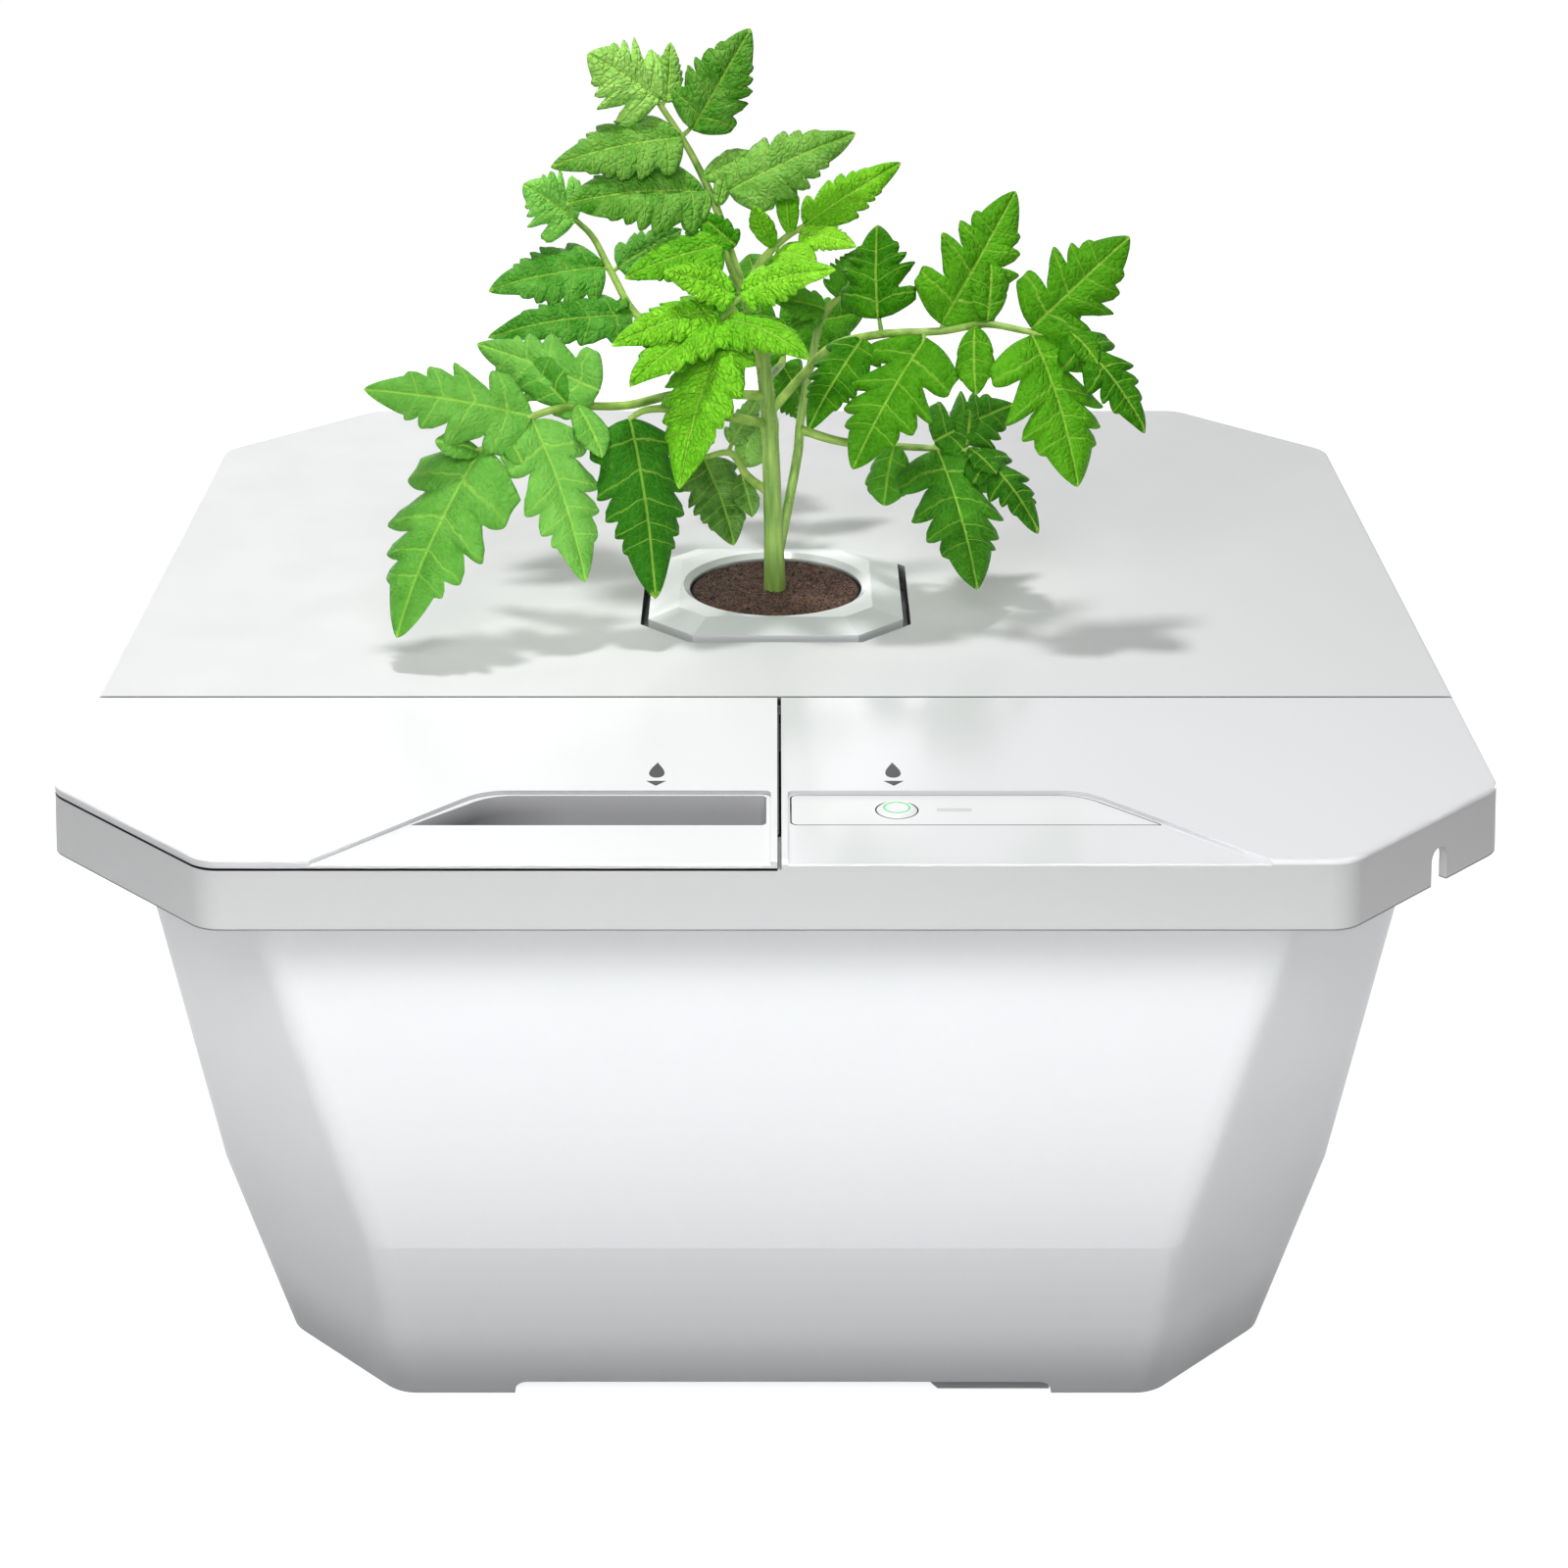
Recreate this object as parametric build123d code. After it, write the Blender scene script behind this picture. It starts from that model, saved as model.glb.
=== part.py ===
from build123d import *

import os
from math import atan2, cos, pi, sin, sqrt

# Countertop hydroponic garden: a tapered water tub, a rim frame with a control deck, a main lid with
# a planted basket, and a lift-off fill cover.  Millimetres, +Z up, front towards -Y.
# The origin is on the floor, under the middle of the lid.

# ---- Body ---------------------------------------------------------------------------------------
BODY_WIDTH = 360.0            # across the flats of the lid and the rim frame
BODY_HEIGHT = 180.5           # floor to the top of the lid
CORNER_CUT = 44.0             # each corner is cut off this far along both sides
CORNER_ROUND = 10.0           # rounding of the eight plan corners
EDGE_ROUND = 1.2              # rounding of the top outer edge
CLEARANCE = 0.05              # radial running clearance of pins in holes

# ---- Tub ----------------------------------------------------------------------------------------
RIM_OVERHANG = 16.3           # body's edge outside the tub's wall at the rim
RIM_CUT_STEP = 12.0           # how much less the tub's corners are cut at the rim than the body's
UPPER_TAPER = 12.6            # how far each wall leans in from the rim to the crease
LOWER_TAPER = 15.2            # and from the crease to the foot
TUB_CREASE_CUT = 46.2
TUB_CREASE_HEIGHT = 55.5
TUB_BASE_CUT = 33.8
TUB_WALL = 2.5
TUB_CORNER_ROUND = 12.0
FOOT_HEIGHT = 4.4
FOOT_RING = 8.0               # width of the ring that the tub stands on
FOOT_GAP = 145.5              # width of the cut-out between two feet
FOOT_GAP_ROUND = 3.5
FOOT_GAP_SHIFT = 2.0          # the front cut-out lies this far right of the middle
FLANGE_OVERHANG = 9.5
FLANGE_THICKNESS = 2.4
PAD_RADIUS = 11.0
PAD_INSET = 34.8              # pad centre inside both faces of the foot

# ---- Rim frame ----------------------------------------------------------------------------------
BAND_HEIGHT = 18.0
BAND_FLARE = 1.0              # how far the band leans out at its lower edge
BAND_WALL = 2.2
LEDGE_THICKNESS = 2.4
GASKET_THICKNESS = 1.0
GASKET_WIDTH = 5.6
GASKET_REACH = 1.2            # gasket's middle line outside the tub's outer face
SEAM_INSET = 102.0            # from the front edge to the line between the main lid and the front pieces
SEAM_X = 0.9                  # line between the fill cover and the control deck
SEAM_GAP = 1.0
BEAM_WIDTH = 16.0
BEAM_RIB_DEPTH = 11.0
BEAM_RIB_WIDTH = 2.4
BEAM_END_GAP = 2.5            # between the beam's rib and the tub's tapering wall
DIVIDER_THICKNESS = 2.0
NOTCH_WIDTH = 6.4
NOTCH_HEIGHT = 9.5
NOTCH_OFFSET = 5.7            # from the middle of the front right corner face
SCREW_RADIUS = 1.5
SCREW_LENGTH = 10.0
SCREW_HEAD_RADIUS = 2.9
SCREW_HEAD_DEPTH = 1.5
BOSS_RADIUS = 3.6
BOSS_DEPTH = 8.0
SCREW_SEAM_GAP = 18.0         # side screws behind the seam, under the main lid
SCREW_END_X = 60.0
SCREW_FRONT_X = 100.0

# ---- Main lid and the planted basket ------------------------------------------------------------
LID_THICKNESS = 2.6
LID_RIB_DEPTH = 4.0
LID_RIB_WIDTH = 1.6
LID_FIT = 0.6
WELL_WIDTH = 76.0
WELL_CUT = 14.0
WELL_WALL = 2.2
WELL_DEPTH = 10.0
WELL_FLOOR = 2.0
COLLAR_GAP = 2.2
COLLAR_CUT = 12.8
COLLAR_EDGE_RISE = 1.2        # collar's outer top edge above the lid
COLLAR_TOP_RISE = 3.5         # collar's inner top edge above the lid
COLLAR_TOP_WIDTH = 54.6
COLLAR_TOP_CUT = 8.0
COLLAR_SINK = 1.8             # width of the bevel round the collar's hole
COLLAR_SINK_DEPTH = 1.3
CUP_RIM_THICKNESS = 1.6
CUP_RIM_OVERHANG = 4.5
CUP_RADIUS = 26.2
CUP_FOOT_RADIUS = 19.0
CUP_DEPTH = 60.0
CUP_WALL = 1.6
CUP_SLOTS = 10
CUP_SLOT_WIDTH = 5.0
CUP_SLOT_HEIGHT = 34.0
CUP_DRAIN_RADIUS = 11.0
SOIL_RADIUS = 24.4
SOIL_RISE = 2.4               # soil surface above the lid
SOIL_FIT = 0.3

# ---- Fill cover ---------------------------------------------------------------------------------
COVER_THICKNESS = 2.1
COVER_RIB_DEPTH = 4.0
POCKET_INSET = 40.0           # back edge of the fill pocket from the front edge
POCKET_RIGHT = 2.3            # distances of its other edges from the centre
POCKET_BEND = 70.5
POCKET_TIP = 88.6
POCKET_FRONT_GAP = 3.6        # from the tub's inner wall at the rim
POCKET_DEPTH = 12.0
POCKET_WALL = 1.6
RECESS_DEPTH = 1.1
RECESS_INSET = 40.7           # back edge of the recess from the front edge
RECESS_INNER = 2.1            # recess end from the seam between the two front pieces
COVER_RECESS_BEND = 73.5      # recess in the cover, at its back and front edges
COVER_RECESS_TIP = 111.1
DECK_RECESS_BEND = 75.3       # recess in the deck
DECK_RECESS_TIP = 116.4
RECESS_ROUND = 14.0
RECESS_EDGE_ROUND = 0.6       # rounding of the recess floors at the body's front edge
COVER_PAD_RADIUS = 4.0
COVER_PAD_SEAM_GAP = 22.0     # side pad from the seam
COVER_PAD_FRONT_X = 60.0
COVER_PAD_SIDE_INSET = 50.0   # outer pad on the beam, from the left edge
COVER_PAD_INNER_X = 20.0

# ---- Control deck -------------------------------------------------------------------------------
FASCIA_LEFT = 3.9
FASCIA_BACK_INSET = 40.0      # edges of the panel from the front edge
FASCIA_FRONT_INSET = 22.8
FASCIA_BEND = 75.4
FASCIA_TIP = 93.2
FASCIA_THICKNESS = 2.0
FASCIA_GAP = 0.4
FASCIA_LIP = 1.0
FASCIA_SEAT = 1.2
BUTTON_X = 29.7
BUTTON_RADIUS = 5.0
BUTTON_GAP = 0.35
BUTTON_RISE = 0.7
BUTTON_FLAT_RADIUS = 4.0
BUTTON_FLANGE = 0.9
BUTTON_FLANGE_THICKNESS = 1.0
BUTTON_STEM_RADIUS = 2.2
BUTTON_TRAVEL = 1.2
RING_RADIUS = 3.13
RING_WIDTH = 0.4
LED_X = 43.8
LED_LENGTH = 8.4
LED_WIDTH = 1.8
BAY_LEFT_GAP = 4.6            # from the divider
BAY_RIGHT_INSET = 68.0        # from the body's right edge
BAY_FRONT_GAP = 3.1           # from the tub's inner wall at the rim
BAY_BACK_GAP = 4.4            # from the beam
BAY_DEPTH = 26.0
BAY_WALL = 1.8
BAY_FLANGE = 4.2
BAY_FLANGE_THICKNESS = 2.4
BAY_SCREW_RADIUS = 1.1
BAY_SCREW_LENGTH = 4.8
BOARD_DEPTH = 12.5            # board's top face below the lid's top
BOARD_THICKNESS = 1.6
BOARD_RIGHT_GAP = 32.0        # board's edges from the bay's right and back edges
BOARD_BACK_GAP = 23.6
DOME_HEIGHT = 4.0
DOME_RADIUS = 3.5
DOME_WALL = 0.8
SWITCH_WIDTH = 3.2

# ---- Pumps, tubes and sensor --------------------------------------------------------------------
PUMP_X = 60.0
PUMP_SEAM_GAP = 28.0          # pump's axis in front of the seam
PUMP_LENGTH = 44.0
PUMP_WIDTH = 36.0
PUMP_HEIGHT = 32.0
PUMP_FOOT_HEIGHT = 3.0
VOLUTE_RADIUS = 13.0
VOLUTE_DEPTH = 12.0
IMPELLER_RADIUS = 11.0
IMPELLER_VANES = 6
SHAFT_RADIUS = 1.5
PUMP_COVER_THICKNESS = 3.0
NOZZLE_RADIUS = 3.0
NOZZLE_BORE = 1.9
NOZZLE_LENGTH = 10.0
HOSE_WALL = 1.5
SPOUT_DEPTH = 14.0            # spout's hole below the lid's top
SPOUT_BARB_RADIUS = 2.5
SPOUT_BARB_LENGTH = 9.0
SPOUT_SHANK_RADIUS = 4.0
SPOUT_FLANGE_RADIUS = 5.4
AIR_PUMP_INSET = 14.0         # air pump's nipple from the bay's right edge
AIR_PUMP_BACK_GAP = 15.6      # and from its back edge
AIR_TUBE_RADIUS = 3.0
AIR_NIPPLE_RADIUS = 1.9
AIR_TUBE_TURN = 72.0          # heights where the air tube turns away from the pump
AIR_TUBE_DROP = 58.0          # and down to the stone
AIR_TUBE_BEND = 14.0
STONE_X = 62.0
STONE_SEAM_GAP = 30.0         # stone's middle behind the seam
STONE_RADIUS = 18.0
STONE_HEIGHT = 14.0
SENSOR_INSET = 22.0           # sensor from the bay's left edge
SENSOR_RADIUS = 2.5
SENSOR_FOOT = 60.0            # lower end of the sensor stem above the floor
FLOAT_RADIUS = 9.0
FLOAT_HEIGHT = 16.0
SUMP_WIDTH = 32.5
SUMP_GAP = 0.5                # from the side of the cut-out between the feet
SUMP_THICKNESS = 2.9
GLAND_OFFSET = -14.0          # from the middle of the front right corner face

# ---- Plant --------------------------------------------------------------------------------------
STEM_RADIUS = 2.7             # at the soil
STEM_TOP_RADIUS = 1.5
STEM_ROOTED = 12.0
SIDE_STEM_RADIUS = 1.4
SIDE_STEM_TOP_RADIUS = 1.0
STALK_RADIUS = 0.9
PETIOLE_RADIUS = 0.7
LEAF_THICKNESS = 0.8
ROOT_RADIUS = 1.0
ROOT_STRANDS = 7
ROOT_LENGTH = 70.0
PLANT_HEIGHT = 157.0          # tallest leaf tip above the lid

# ---- Sizes that follow --------------------------------------------------------------------------
HALF = BODY_WIDTH / 2
TOP = BODY_HEIGHT
TUB_RIM_WIDTH = BODY_WIDTH - 2 * RIM_OVERHANG
TUB_RIM_CUT = CORNER_CUT - RIM_CUT_STEP
TUB_CREASE_WIDTH = TUB_RIM_WIDTH - 2 * UPPER_TAPER
TUB_BASE_WIDTH = TUB_CREASE_WIDTH - 2 * LOWER_TAPER
PAD_REACH = TUB_BASE_WIDTH / 2 - PAD_INSET
LEDGE_TOP = TOP - LID_THICKNESS
LEDGE_BOTTOM = LEDGE_TOP - LEDGE_THICKNESS
FLANGE_TOP = LEDGE_BOTTOM - GASKET_THICKNESS
FLOOR_TOP = FOOT_HEIGHT + TUB_WALL
BAND_BOTTOM = TOP - BAND_HEIGHT
OPENING_HALF = TUB_RIM_WIDTH / 2 - TUB_WALL
OCTAGON_OFFSET = 2 - sqrt(2)  # how much a corner cut grows per millimetre of offset
SEAM_Y = SEAM_INSET - HALF
LID_FRONT = SEAM_Y + SEAM_GAP / 2
FRONT_BACK = SEAM_Y - SEAM_GAP / 2
COVER_RIGHT = SEAM_X - SEAM_GAP / 2
DECK_LEFT = SEAM_X + SEAM_GAP / 2
BEAM_FRONT = SEAM_Y - BEAM_WIDTH / 2 + 2
BEAM_BACK = BEAM_FRONT + BEAM_WIDTH
POCKET_BACK = HALF - POCKET_INSET
POCKET_FRONT = OPENING_HALF - POCKET_FRONT_GAP
RECESS_BACK = HALF - RECESS_INSET
FASCIA_BACK = HALF - FASCIA_BACK_INSET
FASCIA_FRONT = HALF - FASCIA_FRONT_INSET
BUTTON_Y = -(FASCIA_BACK + FASCIA_FRONT) / 2
BAY_LEFT = DECK_LEFT + DIVIDER_THICKNESS + BAY_LEFT_GAP
BAY_RIGHT = HALF - BAY_RIGHT_INSET
BAY_FRONT = OPENING_HALF - BAY_FRONT_GAP
BAY_BACK = BAY_BACK_GAP - BEAM_FRONT
BOARD_RIGHT = BAY_RIGHT - BOARD_RIGHT_GAP
BOARD_BACK = BAY_BACK + BOARD_BACK_GAP
AIR_PUMP_X = BAY_RIGHT - AIR_PUMP_INSET
AIR_PUMP_Y = -BAY_BACK - AIR_PUMP_BACK_GAP
SENSOR_X = BAY_LEFT + SENSOR_INSET
SENSOR_Y = AIR_PUMP_Y
PUMP_Y = SEAM_Y - PUMP_SEAM_GAP
STONE_Y = SEAM_Y + STONE_SEAM_GAP
SUMP_RIGHT = FOOT_GAP_SHIFT + FOOT_GAP / 2 - SUMP_GAP
SUMP_LEFT = SUMP_RIGHT - SUMP_WIDTH
PLANT_UNIT = PLANT_HEIGHT / 157.0   # the tables of stems and leaves are drawn 157 high
RECESS_TOP = TOP - RECESS_DEPTH
FASCIA_BOTTOM = RECESS_TOP - FASCIA_THICKNESS
SEAT_BOTTOM = FASCIA_BOTTOM - FASCIA_SEAT
BOARD_TOP = TOP - BOARD_DEPTH
BAY_FLOOR = TOP - BAY_DEPTH
WELL_SEAT = TOP - WELL_DEPTH + WELL_FLOOR
COLLAR_FOOT = WELL_SEAT + CUP_RIM_THICKNESS
PLUG_BOTTOM = WELL_SEAT + CUP_RIM_THICKNESS - CUP_DEPTH + CUP_WALL + SOIL_FIT


# ---- Helpers ------------------------------------------------------------------------------------
def grown(half, cut, by):
    """Half width and corner cut of an octagon moved outwards by a distance."""
    return half + by, cut + by * OCTAGON_OFFSET


def octagon(half, cut, corner_round=0.0):
    """Square outline with its four corners cut off."""
    flat = half - cut
    corners = [
        (half, flat), (flat, half), (-flat, half), (-half, flat),
        (-half, -flat), (-flat, -half), (flat, -half), (half, -flat),
    ]
    face = make_face(Polyline(*corners, close=True))
    if corner_round > 0:
        face = fillet(face.vertices(), corner_round)
    return face


def slab(sketch, low, high):
    """Flat plate with the sketch's outline between two heights."""
    return Pos(0, 0, low) * extrude(sketch, high - low)


def region(x_low, x_high, y_low, y_high):
    """Rectangle between limits, to trim an outline."""
    return Pos((x_low + x_high) / 2, (y_low + y_high) / 2) * Rectangle(x_high - x_low, y_high - y_low)


def block(x_low, x_high, y_low, y_high, z_low, z_high):
    return slab(region(x_low, x_high, y_low, y_high), z_low, z_high)


def rod(x, y, radius, low, high):
    return Pos(x, y, low) * Cylinder(radius, high - low, align=(Align.CENTER, Align.CENTER, Align.MIN))


def tube_path(points, bend):
    """Straight runs joined by tangent arcs."""
    return FilletPolyline(*points, radius=bend)


def swept(path, profile):
    start = path.location_at(0)
    return sweep(Plane(origin=start.position, z_dir=path.tangent_at(0)) * profile, path=path)


def stacked(sections, corner_round):
    """Solid through octagon sections given as (height, half width, corner cut)."""
    solid = None
    for lower, upper in zip(sections, sections[1:]):
        faces = [Pos(0, 0, z) * octagon(half, cut, corner_round) for z, half, cut in (lower, upper)]
        step = loft(faces, ruled=True)
        solid = step if solid is None else solid + step
    return solid


# ---- Tub ----------------------------------------------------------------------------------------
def tub_sections(inset=0.0, bottom=0.0):
    """Tub sections from a height up to the rim, moved inwards by the inset."""
    levels = [
        (0.0, TUB_BASE_WIDTH / 2, TUB_BASE_CUT),
        (TUB_CREASE_HEIGHT, TUB_CREASE_WIDTH / 2, TUB_CREASE_CUT),
        (FLANGE_TOP, TUB_RIM_WIDTH / 2, TUB_RIM_CUT),
    ]
    base, crease = levels[0], levels[1]
    share = bottom / crease[0]
    start = (bottom, base[1] + share * (crease[1] - base[1]), base[2] + share * (crease[2] - base[2]))
    return [(z, *grown(half, cut, -inset)) for z, half, cut in (start, *levels[1:])]


def tub_at(height):
    """Half width and corner cut of the tub's outer face above the crease."""
    share = (height - TUB_CREASE_HEIGHT) / (FLANGE_TOP - TUB_CREASE_HEIGHT)
    half = (TUB_CREASE_WIDTH + share * (TUB_RIM_WIDTH - TUB_CREASE_WIDTH)) / 2
    return half, TUB_CREASE_CUT + share * (TUB_RIM_CUT - TUB_CREASE_CUT)


def screw_places():
    """Frame screws: on the ledge, where the main lid or the fill cover hides them."""
    reach = TUB_RIM_WIDTH / 2 + FLANGE_OVERHANG - BOSS_RADIUS + 0.5
    side = -SEAM_Y - SCREW_SEAM_GAP
    return [
        (-reach, side), (-reach, -side), (reach, side), (reach, -side),
        (-SCREW_END_X, reach), (SCREW_END_X, reach), (-SCREW_FRONT_X, -reach),
    ]


def corner_plane(offset, depth, inward=0.0):
    """Plane on the tub's front right corner face, its normal pointing outwards."""
    height = TOP - depth
    half, cut = tub_at(height)
    above, above_cut = tub_at(height + 1)
    lean = atan2(((2 * above - above_cut) - (2 * half - cut)) / sqrt(2), 1)
    reach = (2 * half - cut) / sqrt(2) - inward * cos(lean)
    across = sqrt(0.5)
    origin = (
        reach * across + offset * across,
        -reach * across + offset * across,
        height + inward * sin(lean),
    )
    normal = (cos(lean) * across, -cos(lean) * across, -sin(lean))
    return Plane(origin=origin, x_dir=(across, across, 0), z_dir=normal)


def foot_tunnel(width):
    """Round-topped cut-out under the tub, right through along Y."""
    profile = Pos(0, FOOT_HEIGHT / 2 - 2) * RectangleRounded(width, FOOT_HEIGHT + 4, FOOT_GAP_ROUND)
    return extrude(Plane.XZ * profile, BODY_WIDTH / 2, both=True)


def reservoir_tub():
    tub = stacked(tub_sections(), TUB_CORNER_ROUND)
    flange = grown(TUB_RIM_WIDTH / 2, TUB_RIM_CUT, FLANGE_OVERHANG)
    tub += slab(octagon(*flange, CORNER_ROUND), FLANGE_TOP - FLANGE_THICKNESS, FLANGE_TOP)
    for x, y in screw_places():
        tub += rod(x, y, BOSS_RADIUS, FLANGE_TOP - BOSS_DEPTH, FLANGE_TOP)
    cavity = stacked(tub_sections(TUB_WALL, FLOOR_TOP), TUB_CORNER_ROUND - TUB_WALL)
    tub -= cavity
    under = grown(TUB_BASE_WIDTH / 2, TUB_BASE_CUT, -FOOT_RING)
    tub -= slab(octagon(*under, CORNER_ROUND), -1, FOOT_HEIGHT)
    tub -= Pos(FOOT_GAP_SHIFT, 0, 0) * foot_tunnel(FOOT_GAP)
    tub -= Rot(0, 0, 90) * foot_tunnel(FOOT_GAP)
    for x, y in screw_places():
        tub -= rod(x, y, SCREW_RADIUS + CLEARANCE, LEDGE_TOP - SCREW_LENGTH, FLANGE_TOP + 1)
    for x in sump_pegs():
        tub -= rod(x, PUMP_Y, 2.0 + CLEARANCE, FOOT_HEIGHT - 1, FOOT_HEIGHT + 1.6)
    for offset, radius in ((NOTCH_OFFSET, SPOUT_SHANK_RADIUS), (GLAND_OFFSET, SPOUT_SHANK_RADIUS)):
        hole = corner_plane(offset, SPOUT_DEPTH) * Circle(radius + CLEARANCE)
        tub -= extrude(hole, 2 * TUB_WALL, both=True)
    return tub


def rim_gasket():
    outer = grown(TUB_RIM_WIDTH / 2, TUB_RIM_CUT, GASKET_REACH + GASKET_WIDTH / 2)
    inner = grown(TUB_RIM_WIDTH / 2, TUB_RIM_CUT, GASKET_REACH - GASKET_WIDTH / 2)
    ring = octagon(*outer, CORNER_ROUND) - octagon(*inner, CORNER_ROUND)
    return slab(ring, FLANGE_TOP, LEDGE_BOTTOM)


def foot_pads():
    reaches = (-PAD_REACH, PAD_REACH)
    return [rod(x, y, PAD_RADIUS, 0, FOOT_HEIGHT) for x in reaches for y in reaches]


def sump_pegs():
    return (SUMP_LEFT + 8, SUMP_RIGHT - 8)


def sump_cover():
    """Plate over the pump's sump; its right side follows the cut-out between the feet."""
    low = FOOT_HEIGHT - SUMP_THICKNESS
    plate = block(SUMP_LEFT, SUMP_RIGHT, -TUB_BASE_WIDTH / 2, PUMP_Y + 12, low, FOOT_HEIGHT)
    plate &= Pos(FOOT_GAP_SHIFT, 0, 0) * foot_tunnel(FOOT_GAP - 2 * SUMP_GAP)
    left = plate.edges().filter_by(Axis.Y).group_by(Axis.Z)[0].sort_by(Axis.X)[0]
    plate = chamfer(left, SUMP_THICKNESS * 0.75)
    for x in sump_pegs():
        plate += rod(x, PUMP_Y, 2.0, FOOT_HEIGHT, FOOT_HEIGHT + 1.5)
    return plate


# ---- Rim frame ----------------------------------------------------------------------------------
def front_outline(inner, bend, tip, back, front, bend_round):
    """Outline of a panel near the front edge: square at its inner end, slanted at the other."""
    points = [(inner, -front), (inner, -back), (bend, -back), (tip, -front)]
    face = make_face(Polyline(*points, close=True))
    bend_corner = face.vertices().sort_by_distance((bend, -back, 0))[0]
    face = fillet(bend_corner, bend_round)
    inner_corners = face.vertices().sort_by_distance((inner, -(front + back) / 2, 0))[0:2]
    return fillet(inner_corners, 1.5)


def recess_outline(side, bend, tip):
    """Shallow recess, open to the front edge, in the deck (side 1) or the cover (side -1)."""
    front = HALF + 5
    slope = (tip - bend) / (HALF - RECESS_BACK)
    reach = bend + slope * (front - RECESS_BACK)
    points = [(RECESS_INNER, -front), (RECESS_INNER, -RECESS_BACK), (bend, -RECESS_BACK), (reach, -front)]
    face = make_face(Polyline(*[(SEAM_X + side * x, y) for x, y in points], close=True))
    corner = face.vertices().sort_by_distance((SEAM_X + side * bend, -RECESS_BACK, 0))[0]
    face = fillet(corner, RECESS_ROUND)
    inner = face.vertices().sort_by_distance((SEAM_X + side * RECESS_INNER, -RECESS_BACK, 0))[0]
    return fillet(inner, 1.5)


def recessed(plate, outline):
    """Plate with the recess cut into it, and the floor's edge rounded where it meets the front."""
    low = RECESS_TOP - RECESS_EDGE_ROUND
    middle = RECESS_EDGE_ROUND - HALF
    corner = block(-HALF, HALF, -HALF - 1, middle, low, RECESS_TOP)
    corner -= Pos(0, middle, low) * Rot(0, 90, 0) * Cylinder(RECESS_EDGE_ROUND, BODY_WIDTH)
    plate -= slab(outline, RECESS_TOP, TOP + 1)
    return plate - (corner & slab(outline, low, RECESS_TOP))


def fascia_outline():
    return front_outline(FASCIA_LEFT, FASCIA_BEND, FASCIA_TIP, FASCIA_BACK, FASCIA_FRONT, RECESS_ROUND)


def outline_edges(solid, height):
    """Edges of a front or lid plate that follow the body's outer outline at a height."""
    reach = HALF - CORNER_CUT * 0.75
    level = solid.edges().filter_by_position(Axis.Z, height - 0.01, height + 0.01)
    return [edge for edge in level if on_outline(edge, reach)]


def on_outline(edge, reach):
    middle = edge.position_at(0.5)
    diagonal = abs(middle.X) + abs(middle.Y)
    near = max(abs(middle.X), abs(middle.Y)) > HALF - CORNER_ROUND / 2
    return near or diagonal > 2 * HALF - CORNER_CUT - CORNER_ROUND / 2


def band_wall():
    flared = grown(HALF, CORNER_CUT, BAND_FLARE)
    outer = stacked([(BAND_BOTTOM, *flared), (LEDGE_TOP, HALF, CORNER_CUT)], CORNER_ROUND)
    inner_low = (BAND_BOTTOM - 0.1, *grown(*flared, -BAND_WALL))
    inner_high = (LEDGE_BOTTOM, *grown(HALF, CORNER_CUT, -BAND_WALL))
    outer -= stacked([inner_low, inner_high], CORNER_ROUND - BAND_WALL)
    opening = grown(TUB_RIM_WIDTH / 2, TUB_RIM_CUT, -TUB_WALL)
    return outer - slab(octagon(*opening, CORNER_ROUND), LEDGE_BOTTOM - 1, LEDGE_TOP + 1)


def deck_plate():
    outline = octagon(HALF, CORNER_CUT, CORNER_ROUND) & region(DECK_LEFT, HALF + 1, -HALF - 1, FRONT_BACK)
    plate = slab(outline, LEDGE_TOP, TOP)
    plate = fillet(outline_edges(plate, TOP), min(EDGE_ROUND, LID_THICKNESS * 0.8))
    return recessed(plate, recess_outline(1, DECK_RECESS_BEND, DECK_RECESS_TIP))


def bay_outline(grow_by):
    return region(BAY_LEFT - grow_by, BAY_RIGHT + grow_by, -BAY_FRONT - min(grow_by, BAY_FRONT_GAP - 0.2),
                  -BAY_BACK + grow_by)


def bay_screw_places():
    left = BAY_LEFT - BAY_FLANGE / 2 - 0.1
    right = BAY_RIGHT + BAY_FLANGE / 2 + 0.1
    return [(left, -BAY_BACK - 12), (left, -BAY_BACK - 42), (right, -BAY_BACK - 12), (right, -BAY_FRONT + 8)]


def notch():
    """Round-topped slot in the lower edge of the band's front right corner."""
    across = sqrt(0.5)
    reach = (2 * HALF - CORNER_CUT) * across
    middle = (reach * across + NOTCH_OFFSET * across, -reach * across + NOTCH_OFFSET * across, BAND_BOTTOM)
    plane = Plane(origin=middle, x_dir=(across, across, 0), z_dir=(across, -across, 0))
    radius = NOTCH_WIDTH / 2
    slot = Pos(0, (NOTCH_HEIGHT - radius) / 2 - 2) * Rectangle(NOTCH_WIDTH, NOTCH_HEIGHT - radius + 4)
    slot += Pos(0, NOTCH_HEIGHT - radius) * Circle(radius)
    return extrude(plane * slot, 4 * BAND_WALL, both=True)


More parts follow.
